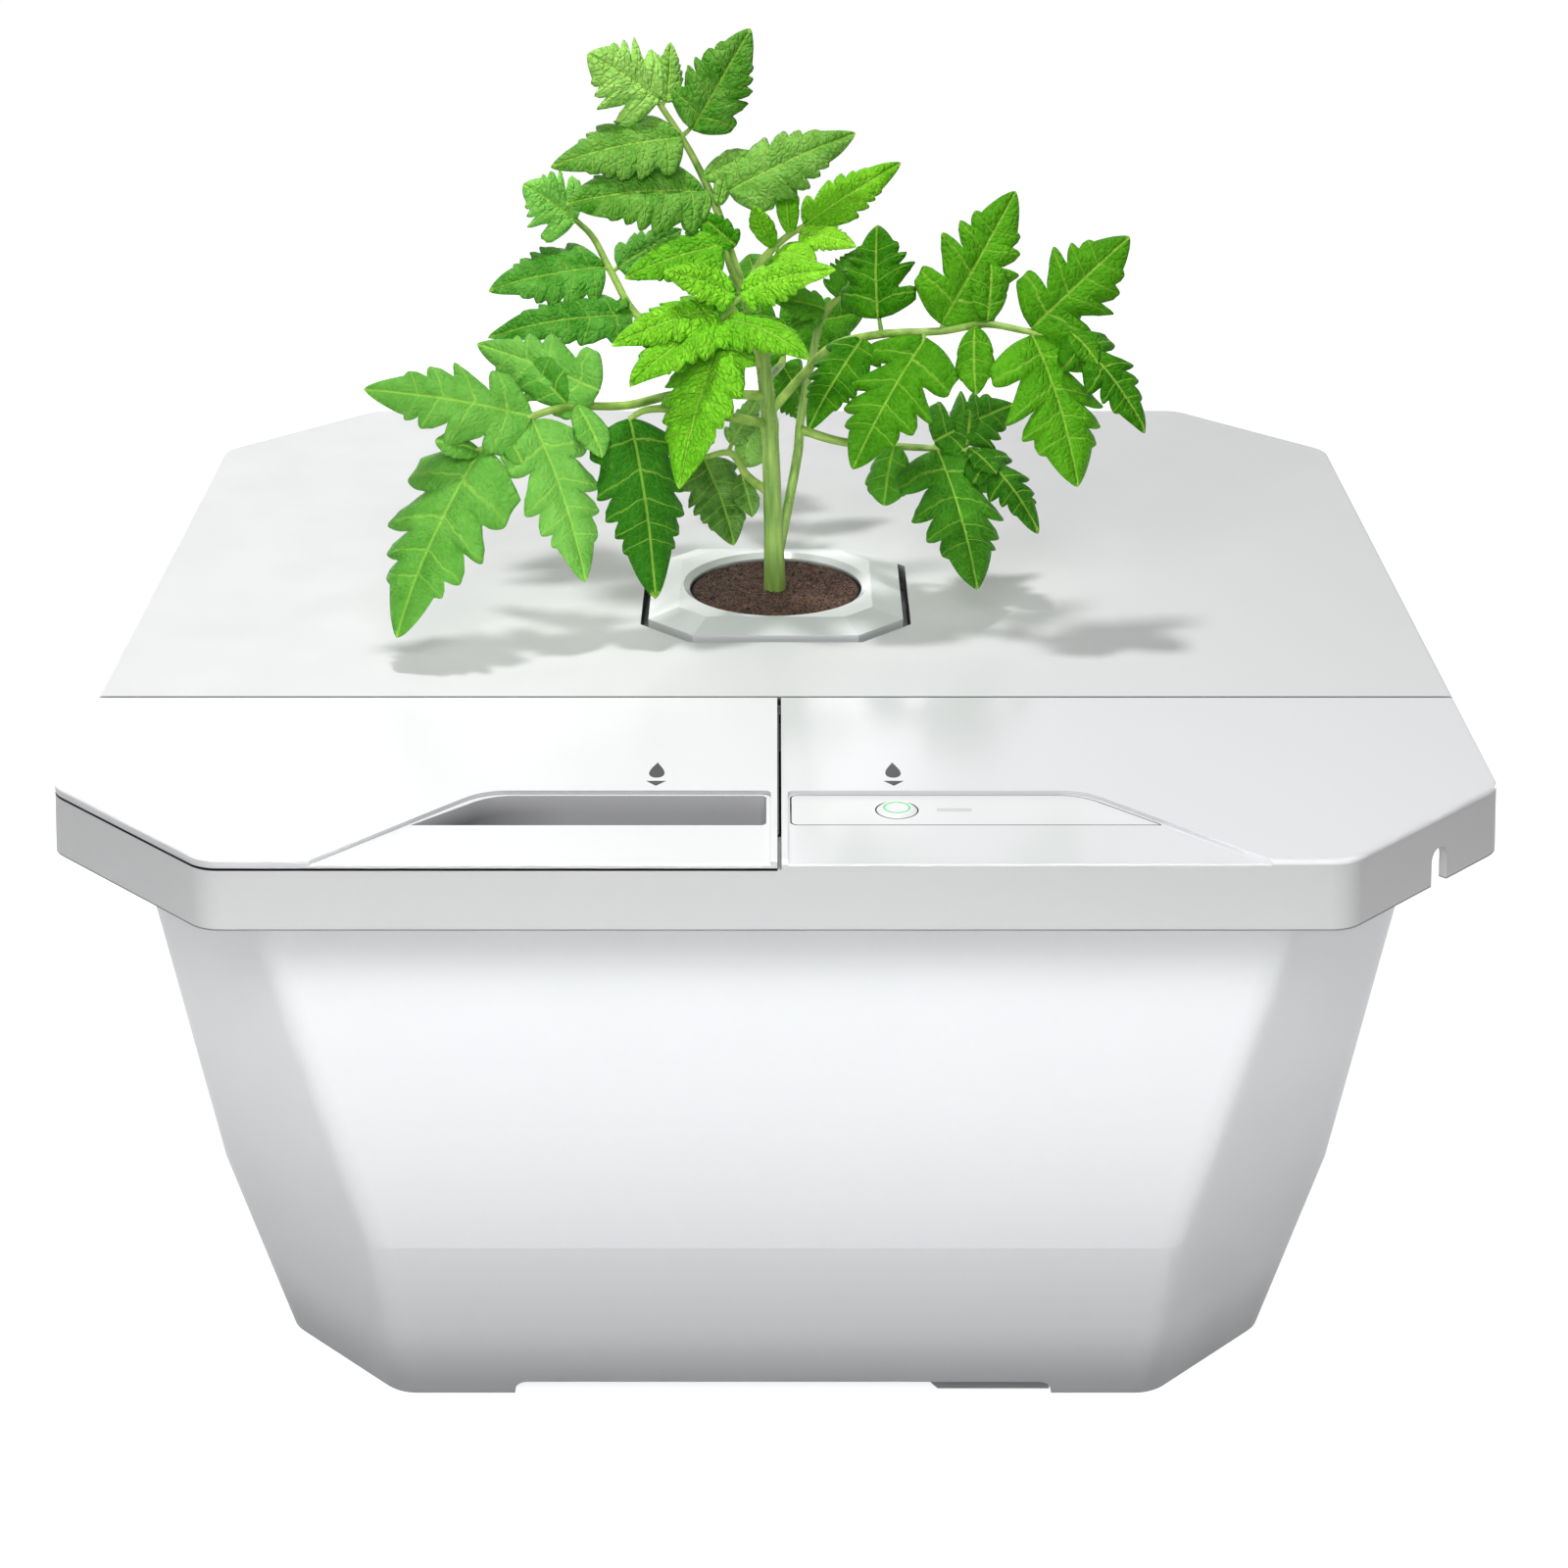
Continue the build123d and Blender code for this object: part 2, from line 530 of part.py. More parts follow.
def rim_frame():
    opening = grown(TUB_RIM_WIDTH / 2, TUB_RIM_CUT, -TUB_WALL)
    inside = octagon(*opening, CORNER_ROUND)
    frame = band_wall()
    frame += slab(inside & region(-HALF, HALF, BEAM_FRONT, BEAM_BACK), LEDGE_BOTTOM, LEDGE_TOP)
    rib_middle = (BEAM_FRONT + BEAM_BACK) / 2
    rib = region(-HALF, HALF, rib_middle - BEAM_RIB_WIDTH / 2, rib_middle + BEAM_RIB_WIDTH / 2)
    below = offset(inside, -BEAM_END_GAP)
    frame += slab(below & rib, LEDGE_BOTTOM - BEAM_RIB_DEPTH, LEDGE_BOTTOM)
    divider = region(DECK_LEFT, DECK_LEFT + DIVIDER_THICKNESS, -HALF, rib_middle)
    frame += slab(below & divider, LEDGE_BOTTOM - BEAM_RIB_DEPTH, LEDGE_BOTTOM)
    frame += slab(inside & divider, LEDGE_BOTTOM, LEDGE_TOP)
    frame += deck_plate()
    bay_rim = (bay_outline(BAY_FLANGE) - bay_outline(0)) & inside
    frame += slab(bay_rim, SEAT_BOTTOM, LEDGE_TOP)
    seat = offset(fascia_outline(), 2.0)
    frame += slab(seat, SEAT_BOTTOM, LEDGE_TOP)
    frame -= slab(offset(fascia_outline(), FASCIA_GAP), FASCIA_BOTTOM, TOP + 1)
    frame -= slab(offset(fascia_outline(), -FASCIA_LIP), SEAT_BOTTOM - 1, TOP + 1)
    for x, y in screw_places():
        frame -= rod(x, y, SCREW_RADIUS + 0.15, LEDGE_BOTTOM - 1, LEDGE_TOP + 1)
        head = Pos(x, y, LEDGE_TOP - SCREW_HEAD_DEPTH) * Cone(
            SCREW_RADIUS + 0.15, SCREW_HEAD_RADIUS + 0.15, SCREW_HEAD_DEPTH,
            align=(Align.CENTER, Align.CENTER, Align.MIN))
        frame -= head
    for x, y in bay_screw_places():
        frame -= rod(x, y, BAY_SCREW_RADIUS + CLEARANCE, SEAT_BOTTOM - 1, SEAT_BOTTOM + 2.8)
    return frame - notch()


def frame_screws():
    screws = []
    for x, y in screw_places():
        low = LEDGE_TOP - SCREW_LENGTH + 0.5
        shank = rod(x, y, SCREW_RADIUS, low, LEDGE_TOP - SCREW_HEAD_DEPTH)
        head = Pos(x, y, LEDGE_TOP - SCREW_HEAD_DEPTH) * Cone(
            SCREW_RADIUS, SCREW_HEAD_RADIUS, SCREW_HEAD_DEPTH - 0.1,
            align=(Align.CENTER, Align.CENTER, Align.MIN))
        slot = block(x - 2.2, x + 2.2, y - 0.35, y + 0.35, LEDGE_TOP - 0.9, LEDGE_TOP)
        screws.append(shank + head - slot)
    return screws


# ---- Main lid -----------------------------------------------------------------------------------
def main_lid():
    outline = octagon(HALF, CORNER_CUT, CORNER_ROUND) & region(-HALF - 1, HALF + 1, LID_FRONT, HALF + 1)
    lid = slab(outline, LEDGE_TOP, TOP)
    lid = fillet(outline_edges(lid, TOP), min(EDGE_ROUND, LID_THICKNESS * 0.8))
    opening = grown(TUB_RIM_WIDTH / 2, TUB_RIM_CUT, -TUB_WALL)
    inside = octagon(*opening, CORNER_ROUND) & region(-HALF, HALF, BEAM_BACK, HALF)
    rib = offset(inside, -LID_FIT) - offset(inside, -LID_FIT - LID_RIB_WIDTH)
    lid += slab(rib, LEDGE_TOP - LID_RIB_DEPTH, LEDGE_TOP)
    well_half = WELL_WIDTH / 2
    outer_well = grown(well_half, WELL_CUT, WELL_WALL)
    lid += slab(octagon(*outer_well, 2), TOP - WELL_DEPTH, LEDGE_TOP)
    lid -= slab(octagon(well_half, WELL_CUT), WELL_SEAT, TOP + 1)
    return lid - rod(0, 0, CUP_RADIUS + SOIL_FIT, TOP - WELL_DEPTH - 1, TOP)


# ---- Planted basket -----------------------------------------------------------------------------
def basket_collar():
    half = WELL_WIDTH / 2 - COLLAR_GAP
    edge = TOP + COLLAR_EDGE_RISE
    top = TOP + COLLAR_TOP_RISE
    collar = slab(octagon(half, COLLAR_CUT), COLLAR_FOOT, edge)
    bevel = [Pos(0, 0, edge) * octagon(half, COLLAR_CUT),
             Pos(0, 0, top) * octagon(COLLAR_TOP_WIDTH / 2, COLLAR_TOP_CUT)]
    collar += loft(bevel, ruled=True)
    hole = SOIL_RADIUS + SOIL_FIT
    collar -= Pos(0, 0, top - COLLAR_SINK_DEPTH) * Cone(
        hole, hole + COLLAR_SINK, COLLAR_SINK_DEPTH, align=(Align.CENTER, Align.CENTER, Align.MIN))
    return collar - rod(0, 0, hole, COLLAR_FOOT - 1, top + 1)


def net_cup():
    rim_top = WELL_SEAT + CUP_RIM_THICKNESS
    low = rim_top - CUP_DEPTH
    up = (Align.CENTER, Align.CENTER, Align.MIN)
    cup = Pos(0, 0, low) * Cone(CUP_FOOT_RADIUS, CUP_RADIUS, CUP_DEPTH, align=up)
    cup += rod(0, 0, CUP_RADIUS + CUP_RIM_OVERHANG, WELL_SEAT, rim_top)
    cup -= Pos(0, 0, low + CUP_WALL) * Cone(
        CUP_FOOT_RADIUS - CUP_WALL, CUP_RADIUS - CUP_WALL, CUP_DEPTH - CUP_WALL + 0.01, align=up)
    slot_low = low + CUP_SLOT_WIDTH
    for turn in range(CUP_SLOTS):
        window = block(CUP_FOOT_RADIUS / 2, CUP_RADIUS + 2, -CUP_SLOT_WIDTH / 2, CUP_SLOT_WIDTH / 2,
                       slot_low, slot_low + CUP_SLOT_HEIGHT)
        cup -= Rot(0, 0, turn * 360 / CUP_SLOTS) * window
    return cup - rod(0, 0, CUP_DRAIN_RADIUS, low - 1, low + CUP_WALL + 1)


def grow_plug():
    """Soil and rooting sponge: fills the cup and shows as a low dome in the collar."""
    inner_top = CUP_RADIUS - CUP_WALL - SOIL_FIT
    inner_foot = CUP_FOOT_RADIUS - CUP_WALL - SOIL_FIT
    rim_top = WELL_SEAT + CUP_RIM_THICKNESS
    plug = Pos(0, 0, PLUG_BOTTOM) * Cone(
        inner_foot, inner_top, rim_top - PLUG_BOTTOM, align=(Align.CENTER, Align.CENTER, Align.MIN))
    plug += rod(0, 0, inner_top, rim_top, TOP)
    plug += rod(0, 0, SOIL_RADIUS, rim_top + SOIL_FIT, TOP + SOIL_RISE)
    plug = fillet(plug.edges().group_by(Axis.Z)[-1], 1.2)
    return plug - rod(0, 0, STEM_RADIUS + CLEARANCE, TOP + SOIL_RISE - STEM_ROOTED, TOP + SOIL_RISE + 1)


def roots():
    strands = []
    length = min(ROOT_LENGTH, PLUG_BOTTOM - FLOOR_TOP - 15)
    for strand in range(ROOT_STRANDS):
        angle = 2 * pi * strand / ROOT_STRANDS
        near = (7.0 if strand else 0.0)
        far = near + 6 + 3 * sin(3 * angle)
        reach = 0.75 + 0.25 * cos(5 * angle)
        start = (near * cos(angle), near * sin(angle), PLUG_BOTTOM)
        throat = (near * cos(angle), near * sin(angle), PLUG_BOTTOM - 8)
        knee = (far * cos(angle + 0.4), far * sin(angle + 0.4), PLUG_BOTTOM - 0.5 * length * reach)
        tip = (far * cos(angle + 0.7), far * sin(angle + 0.7), PLUG_BOTTOM - length * reach)
        strands.append(swept(tube_path([start, throat, knee, tip], 6), Circle(ROOT_RADIUS)))
    return strands


# ---- Plant --------------------------------------------------------------------------------------
# Positions are measured from the middle of the lid's top.
STEM_POINTS = [(-1, 0, 32), (-2, -1, 55), (-4, -2, 72), (-7, -1, 84), (-9, 2, 92)]
SIDE_STEM_POINTS = [(0, 1, 8), (6, 8, 38), (7, 12, 48), (10, 14, 65), (13, 15, 79)]

# Half of a leaflet's edge: share of the length, share of the half width.
LOBED = [
    (0.0, 0.04), (0.04, 0.45), (0.10, 0.78), (0.17, 0.74), (0.22, 0.46), (0.30, 0.86), (0.40, 1.0),
    (0.47, 0.88), (0.50, 0.56), (0.60, 0.70), (0.68, 0.62), (0.74, 0.38), (0.86, 0.26), (1.0, 0.0),
]
TOOTHED = [
    (0.0, 0.05), (0.05, 0.50), (0.12, 0.82), (0.20, 0.80), (0.27, 0.98), (0.36, 0.88), (0.44, 0.96),
    (0.53, 0.76), (0.62, 0.76), (0.70, 0.54), (0.79, 0.48), (0.87, 0.26), (1.0, 0.0),
]
OVAL = [
    (0.0, 0.10), (0.08, 0.52), (0.20, 0.86), (0.35, 1.0), (0.52, 0.94), (0.70, 0.68), (0.86, 0.36), (1.0, 0.0),
]
# A leaflet faces the front and upwards, and outwards on its own side of the plant.
LEAF_FACING = (0.30, -0.70, 0.65)

# Each leaf: its stalk, then its leaflets as (base, tip, width, edge).
LEAVES = {
    "leaf_top": (
        [(-9, 2, 89), (-13, 6, 100), (-16, 10, 109), (-21, 13, 120), (-26, 14, 129), (-32, 15, 138)],
        [((-32, 15, 139), (-51, 12, 152), 24, LOBED), ((-30, 16, 138), (-29, 23, 153), 9, TOOTHED),
         ((-23, 14, 131), (-7, 22, 157), 20, TOOTHED), ((-26, 13, 129), (-61, 0, 124), 22, TOOTHED),
         ((-20, 11, 114), (-57, -6, 115), 27, TOOTHED), ((-13, 9, 115), (22, 18, 129), 20, TOOTHED),
         ((-20, 12, 118), (-6, 16, 124), 8, OVAL), ((-16, 9, 111), (-14, 13, 119), 5, OVAL),
         ((-19, 11, 114), (-25, 2, 106), 8, OVAL)],
    ),
    "leaf_top_right": (
        [(-8, 1, 89), (-4, 6, 96), (2, 11, 101), (8, 15, 104)],
        [((8, 15, 104), (35, 26, 119), 14, TOOTHED), ((7, 13, 102), (22, 4, 101), 11, TOOTHED),
         ((4, 13, 102), (3, 16, 119), 7, OVAL), ((-1, 9, 100), (-6, 2, 113), 7, OVAL),
         ((1, 8, 98), (11, -2, 98), 12, TOOTHED)],
    ),
    "leaf_left_upper": (
        [(-5, -1, 74), (-25, 14, 72), (-39, 22, 76), (-47, 30, 87), (-52, 33, 96), (-57, 34, 101)],
        [((-57, 34, 101), (-71, 30, 112), 21, LOBED), ((-49, 30, 88), (-81, 20, 84), 22, TOOTHED),
         ((-41, 22, 76), (-81, 10, 73), 18, TOOTHED), ((-45, 30, 88), (-27, 38, 97), 13, TOOTHED),
         ((-43, 26, 80), (-45, 20, 78), 5, OVAL)],
    ),
    "leaf_left_lower": (
        [(-3, -2, 60), (-25, -10, 63), (-41, -18, 62), (-56, -26, 64), (-66, -32, 63), (-74, -36, 58),
         (-79, -38, 56)],
        [((-66, -32, 63), (-110, -40, 73), 25, LOBED), ((-79, -38, 56), (-102, -60, 10), 34, LOBED),
         ((-66, -32, 62), (-52, -44, 20), 25, LOBED), ((-48, -24, 68), (-82, -10, 77), 22, LOBED),
         ((-57, -26, 65), (-70, -14, 75), 13, OVAL), ((-54, -26, 64), (-47, -36, 53), 10, OVAL),
         ((-75, -36, 58), (-80, -34, 64), 5, OVAL), ((-80, -38, 55), (-91, -44, 60), 8, OVAL),
         ((-73, -36, 59), (-68, -42, 53), 7, OVAL)],
    ),
    "leaf_left_front": (
        [(-3, -2, 52), (-25, -16, 60), (-35, -22, 62), (-40, -24, 60)],
        [((-40, -24, 60), (-33, -44, 15), 26, TOOTHED)],
    ),
    "leaf_centre": (
        [(-4, -2, 68), (-8, -8, 79), (-12, -10, 88)],
        [((-9, -12, 92), (16, -26, 102), 15, TOOTHED), ((-13, -14, 85), (9, -36, 80), 17, TOOTHED),
         ((-16, -14, 84), (-39, -38, 73), 19, TOOTHED), ((-14, -14, 82), (-26, -42, 46), 24, TOOTHED),
         ((-12, -10, 91), (-30, -20, 100), 14, TOOTHED), ((-16, -12, 87), (-44, -30, 82), 16, TOOTHED)],
    ),
    "leaf_centre_back": (
        [(-8, 0, 87), (-12, 0, 95), (-14, 0, 101)],
        [((-15, 0, 102), (-41, -12, 96), 18, TOOTHED), ((-11, 0, 102), (-23, 8, 110), 9, TOOTHED)],
    ),
    "leaf_behind": (
        [(-2, 0, 31), (-8, 8, 33), (-13, 14, 38), (-21, 16, 36)],
        [((-21, 16, 36), (-12, 6, 13), 20, TOOTHED), ((-10, 14, 35), (-2, 24, 43), 12, OVAL),
         ((-10, 10, 33), (-7, 4, 22), 8, OVAL), ((-13, 16, 40), (-4, 26, 53), 8, TOOTHED)],
    ),
    "leaf_back": (
        [(-3, 0, 64), (0, 16, 62), (2, 34, 60), (1, 50, 64), (-3, 66, 68)],
        [((2, 34, 58), (8, 40, 40), 16, TOOTHED), ((2, 50, 64), (26, 62, 66), 20, TOOTHED),
         ((0, 52, 64), (-28, 62, 63), 20, TOOTHED), ((-3, 66, 68), (-8, 88, 77), 24, LOBED),
         ((2, 34, 61), (-15, 50, 62), 14, TOOTHED)],
    ),
    "leaf_side": (
        [(13, 15, 78), (15, 14, 81), (18, 14, 84)],
        [((14, 15, 80), (-2, 12, 84), 11, TOOTHED), ((18, 14, 83), (25, 15, 98), 14, TOOTHED),
         ((13, 15, 78), (4, 10, 76), 7, OVAL)],
    ),
    "leaf_right": (
        [(-2, 0, 54), (8, -4, 67), (16, -8, 76), (29, -14, 81), (45, -18, 83), (57, -22, 86), (69, -26, 85),
         (79, -28, 85)],
        [((28, -12, 85), (28, 3, 107), 22, LOBED), ((24, -12, 79), (9, -28, 58), 18, TOOTHED),
         ((41, -18, 81), (21, -38, 50), 29, LOBED), ((45, -18, 85), (65, -4, 118), 25, LOBED),
         ((57, -22, 87), (58, -14, 102), 11, OVAL), ((54, -22, 85), (54, -34, 70), 11, OVAL),
         ((69, -26, 86), (95, -18, 109), 25, LOBED), ((69, -26, 84), (81, -46, 48), 31, LOBED),
         ((79, -28, 85), (86, -36, 79), 8, OVAL), ((78, -27, 86), (79, -22, 94), 9, OVAL),
         ((79, -28, 85), (99, -42, 62), 18, LOBED)],
    ),
    "leaf_right_low": (
        [(7, 11, 46), (19, 9, 43), (34, 8, 42), (45, 6, 42), (57, 4, 42)],
        [((46, 6, 41), (56, -28, 12), 29, LOBED), ((34, 8, 42), (31, 0, 27), 14, OVAL),
         ((45, 6, 44), (68, 16, 52), 21, LOBED), ((57, 4, 42), (74, -12, 23), 16, LOBED),
         ((54, 5, 43), (55, 10, 52), 8, OVAL), ((55, 4, 42), (62, -6, 38), 8, OVAL)],
    ),
}


def above_lid(point):
    x, y, z = [PLANT_UNIT * value for value in point]
    return (x, y, TOP + z)


def leaflet(base, tip, width, edge):
    """Thin lobed, toothed or oval blade from its base to its tip."""
    start = Vector(*above_lid(base))
    along = Vector(*above_lid(tip)) - start
    side = 1 if tip[0] > base[0] else -1
    facing = Vector(side * LEAF_FACING[0], LEAF_FACING[1], LEAF_FACING[2])
    axis = along.normalized()
    normal = (facing - axis * facing.dot(axis)).normalized()
    right = [(share * along.length, half * width * PLANT_UNIT / 2) for share, half in edge]
    left = [(x, -y) for x, y in reversed(right[:-1])]
    blade = extrude(make_face(Polyline(*right, *left, close=True)), LEAF_THICKNESS / 2, both=True)
    return Plane(origin=start, x_dir=axis, z_dir=normal) * blade


def nearest_on_stalk(points, place):
    """Closest point to a place on the straight runs of a stalk."""
    best = None
    for start, end in zip(points, points[1:]):
        run = end - start
        share = max(0.0, min(1.0, (place - start).dot(run) / run.dot(run)))
        point = start + run * share
        if best is None or (point - place).length < (best - place).length:
            best = point
    return best


def petiole(points, base, tip):
    """Short stalk from the leaf's main stalk into the foot of a leaflet."""
    foot = Vector(*above_lid(base))
    end = foot + (Vector(*above_lid(tip)) - foot).normalized() * 2.5 * PLANT_UNIT
    start = nearest_on_stalk(points, foot)
    run = end - start
    axis = Plane(origin=start, z_dir=run.normalized())
    return axis * Cylinder(PETIOLE_RADIUS, run.length, align=(Align.CENTER, Align.CENTER, Align.MIN))


def leaf(name):
    stalk, leaflets = LEAVES[name]
    points = [Vector(*above_lid(point)) for point in stalk]
    shape = swept(tube_path(points, 2.0 * PLANT_UNIT), Circle(STALK_RADIUS))
    for base, tip, width, edge in leaflets:
        shape += petiole(points, base, tip)
        shape += leaflet(base, tip, width, edge)
    return shape


def tapered(points, foot_radius, top_radius):
    """Round stem through points, straight between them, thinner towards its top."""
    stem = Pos(*points[0]) * Sphere(foot_radius + CLEARANCE)
    radii = [foot_radius + (top_radius - foot_radius) * i / (len(points) - 1) for i in range(len(points))]
    for start, end, low, high in zip(points, points[1:], radii, radii[1:]):
        run = Vector(*end) - Vector(*start)
        axis = Plane(origin=start, z_dir=run.normalized())
        stem += axis * Cone(low, high, run.length, align=(Align.CENTER, Align.CENTER, Align.MIN))
        stem += Pos(*end) * Sphere(high + CLEARANCE)
    return stem


def plant_stem():
    soil = TOP + SOIL_RISE
    foot = (0, 0, soil - STEM_ROOTED + 0.2)
    stem = rod(0, 0, STEM_RADIUS, foot[2], soil + 2)
    points = [(0, 0, soil + 2)] + [above_lid(point) for point in STEM_POINTS]
    side = [above_lid(point) for point in SIDE_STEM_POINTS]
    stem += tapered(points, STEM_RADIUS, STEM_TOP_RADIUS)
    return stem + tapered(side, SIDE_STEM_RADIUS, SIDE_STEM_TOP_RADIUS)


# ---- Fill cover ---------------------------------------------------------------------------------
def pocket_outline():
    return mirrored_front(POCKET_RIGHT, POCKET_BEND, POCKET_TIP, POCKET_BACK, POCKET_FRONT)


def mirrored_front(inner, bend, tip, back, front):
    return mirror(front_outline(inner, bend, tip, back, front, RECESS_ROUND), about=Plane.YZ)


def fill_cover():
    outline = octagon(HALF, CORNER_CUT, CORNER_ROUND) & region(-HALF - 1, COVER_RIGHT, -HALF - 1, FRONT_BACK)
    cover = slab(outline, TOP - COVER_THICKNESS, TOP)
    cover = fillet(outline_edges(cover, TOP), min(EDGE_ROUND, COVER_THICKNESS) * 0.6)
    cover = recessed(cover, recess_outline(-1, COVER_RECESS_BEND, COVER_RECESS_TIP))
    opening = grown(TUB_RIM_WIDTH / 2, TUB_RIM_CUT, -TUB_WALL)
    inside = octagon(*opening, CORNER_ROUND) & region(-HALF, DECK_LEFT, -HALF, BEAM_FRONT)
    rib = offset(inside, -LID_FIT) - offset(inside, -LID_FIT - LID_RIB_WIDTH)
    cover += slab(rib, TOP - COVER_THICKNESS - COVER_RIB_DEPTH, TOP - COVER_THICKNESS)
    skirt = offset(pocket_outline(), POCKET_WALL) & offset(inside, -LID_FIT - 1)
    cover += slab(skirt, TOP - POCKET_DEPTH, TOP - COVER_THICKNESS)
    return cover - slab(pocket_outline(), TOP - POCKET_DEPTH - 1, TOP + 1)


def cover_pads():
    """Thin silicone pads on the ledge and the beam that carry the fill cover."""
    high = TOP - COVER_THICKNESS
    edge = (HALF + OPENING_HALF) / 2
    beam = (BEAM_FRONT + FRONT_BACK) / 2
    small = (FRONT_BACK - BEAM_FRONT) / 2
    places = [(-edge, SEAM_Y - COVER_PAD_SEAM_GAP, COVER_PAD_RADIUS),
              (-COVER_PAD_FRONT_X, -edge, COVER_PAD_RADIUS),
              (COVER_PAD_SIDE_INSET - HALF, beam, small), (-COVER_PAD_INNER_X, beam, small)]
    return [rod(x, y, radius, LEDGE_TOP, high) for x, y, radius in places]


# ---- Control deck -------------------------------------------------------------------------------
def led_slot(grow_by):
    return Pos(LED_X, BUTTON_Y) * SlotOverall(LED_LENGTH + 2 * grow_by, LED_WIDTH + 2 * grow_by)


def control_fascia():
    panel = slab(fascia_outline(), FASCIA_BOTTOM, RECESS_TOP)
    panel -= rod(BUTTON_X, BUTTON_Y, BUTTON_RADIUS + BUTTON_GAP, FASCIA_BOTTOM - 1, TOP)
    return panel - slab(led_slot(CLEARANCE), FASCIA_BOTTOM - 1, TOP)


def drain_button():
    flange_top = FASCIA_BOTTOM - CLEARANCE
    flange_bottom = flange_top - BUTTON_FLANGE_THICKNESS
    top = RECESS_TOP + BUTTON_RISE
    button = rod(BUTTON_X, BUTTON_Y, BUTTON_RADIUS, flange_bottom, RECESS_TOP)
    button += Pos(BUTTON_X, BUTTON_Y, RECESS_TOP) * Cone(
        BUTTON_RADIUS, BUTTON_FLAT_RADIUS, BUTTON_RISE, align=(Align.CENTER, Align.CENTER, Align.MIN))
    button += rod(BUTTON_X, BUTTON_Y, BUTTON_RADIUS + BUTTON_FLANGE, flange_bottom, flange_top)
    button += rod(BUTTON_X, BUTTON_Y, BUTTON_STEM_RADIUS, BOARD_TOP + DOME_HEIGHT, flange_bottom)
    groove = rod(BUTTON_X, BUTTON_Y, RING_RADIUS + RING_WIDTH / 2 + CLEARANCE, top - 1.2, top + 1)
    groove -= rod(BUTTON_X, BUTTON_Y, RING_RADIUS - RING_WIDTH / 2 - CLEARANCE, top - 1.2, top + 1)
    return button - groove


def button_light_ring():
    top = RECESS_TOP + BUTTON_RISE
    ring = rod(BUTTON_X, BUTTON_Y, RING_RADIUS + RING_WIDTH / 2, top - 1.2, top + 0.05)
    return ring - rod(BUTTON_X, BUTTON_Y, RING_RADIUS - RING_WIDTH / 2, top - 2, top + 1)


def led_window():
    window = slab(led_slot(0), FASCIA_BOTTOM, RECESS_TOP)
    return window + block(LED_X - 2, LED_X + 2, BUTTON_Y - 0.6, BUTTON_Y + 0.6, BOARD_TOP, FASCIA_BOTTOM)


def switch_dome():
    """Rubber dome over the switch, which pushes the button back up."""
    outer = Pos(BUTTON_X, BUTTON_Y, BOARD_TOP) * Cone(
        DOME_RADIUS, BUTTON_STEM_RADIUS + 0.4, DOME_HEIGHT, align=(Align.CENTER, Align.CENTER, Align.MIN))
    inner = Pos(BUTTON_X, BUTTON_Y, BOARD_TOP) * Cone(
        DOME_RADIUS - DOME_WALL, BUTTON_STEM_RADIUS + 0.4 - DOME_WALL / 2, DOME_HEIGHT - DOME_WALL,
        align=(Align.CENTER, Align.CENTER, Align.MIN))
    return outer - inner


def drain_switch():
    half = SWITCH_WIDTH / 2
    body_top = BOARD_TOP + DOME_HEIGHT - DOME_WALL - BUTTON_TRAVEL - 0.8
    switch = block(BUTTON_X - half, BUTTON_X + half, BUTTON_Y - half, BUTTON_Y + half, BOARD_TOP, body_top)
    return switch + rod(BUTTON_X, BUTTON_Y, 1.2, body_top, body_top + 0.7)


def board_limits():
    return BAY_LEFT + BAY_WALL + 0.6, BOARD_RIGHT, -(BAY_FRONT - BAY_WALL - 0.6), -BOARD_BACK


def board_posts():
    left, right, front, back = board_limits()
    return [(x, y) for x in (left + 4, right - 4) for y in (front + 4, back - 4)]


def control_board():
    left, right, front, back = board_limits()
    board = block(left, right, front, back, BOARD_TOP - BOARD_THICKNESS, BOARD_TOP)
    for x, y in board_posts():
        board -= rod(x, y, BAY_SCREW_RADIUS + 0.1, BOARD_TOP - BOARD_THICKNESS - 1, BOARD_TOP + 1)
    return board


def board_screws():
    screws = []
    for x, y in board_posts():
        shank = rod(x, y, BAY_SCREW_RADIUS, BOARD_TOP - BOARD_THICKNESS - BAY_SCREW_LENGTH, BOARD_TOP)
        screws.append(shank + rod(x, y, 2.0, BOARD_TOP, BOARD_TOP + 1.2))
    return screws


def board_parts():
    """Controller chip, relay and two connectors, placed from the board's edges."""
    left, right, _, back = board_limits()
    places = [(right - 28, back - 22, 12, 12, 1.6), (right - 12, back - 20, 10, 14, 6.0),
              (left + 14, back - 6, 14, 6, 5.0), (right - 24, back - 6, 10, 6, 5.0)]
    return [
        block(x - dx / 2, x + dx / 2, y - dy / 2, y + dy / 2, BOARD_TOP, BOARD_TOP + height)
        for x, y, dx, dy, height in places
    ]


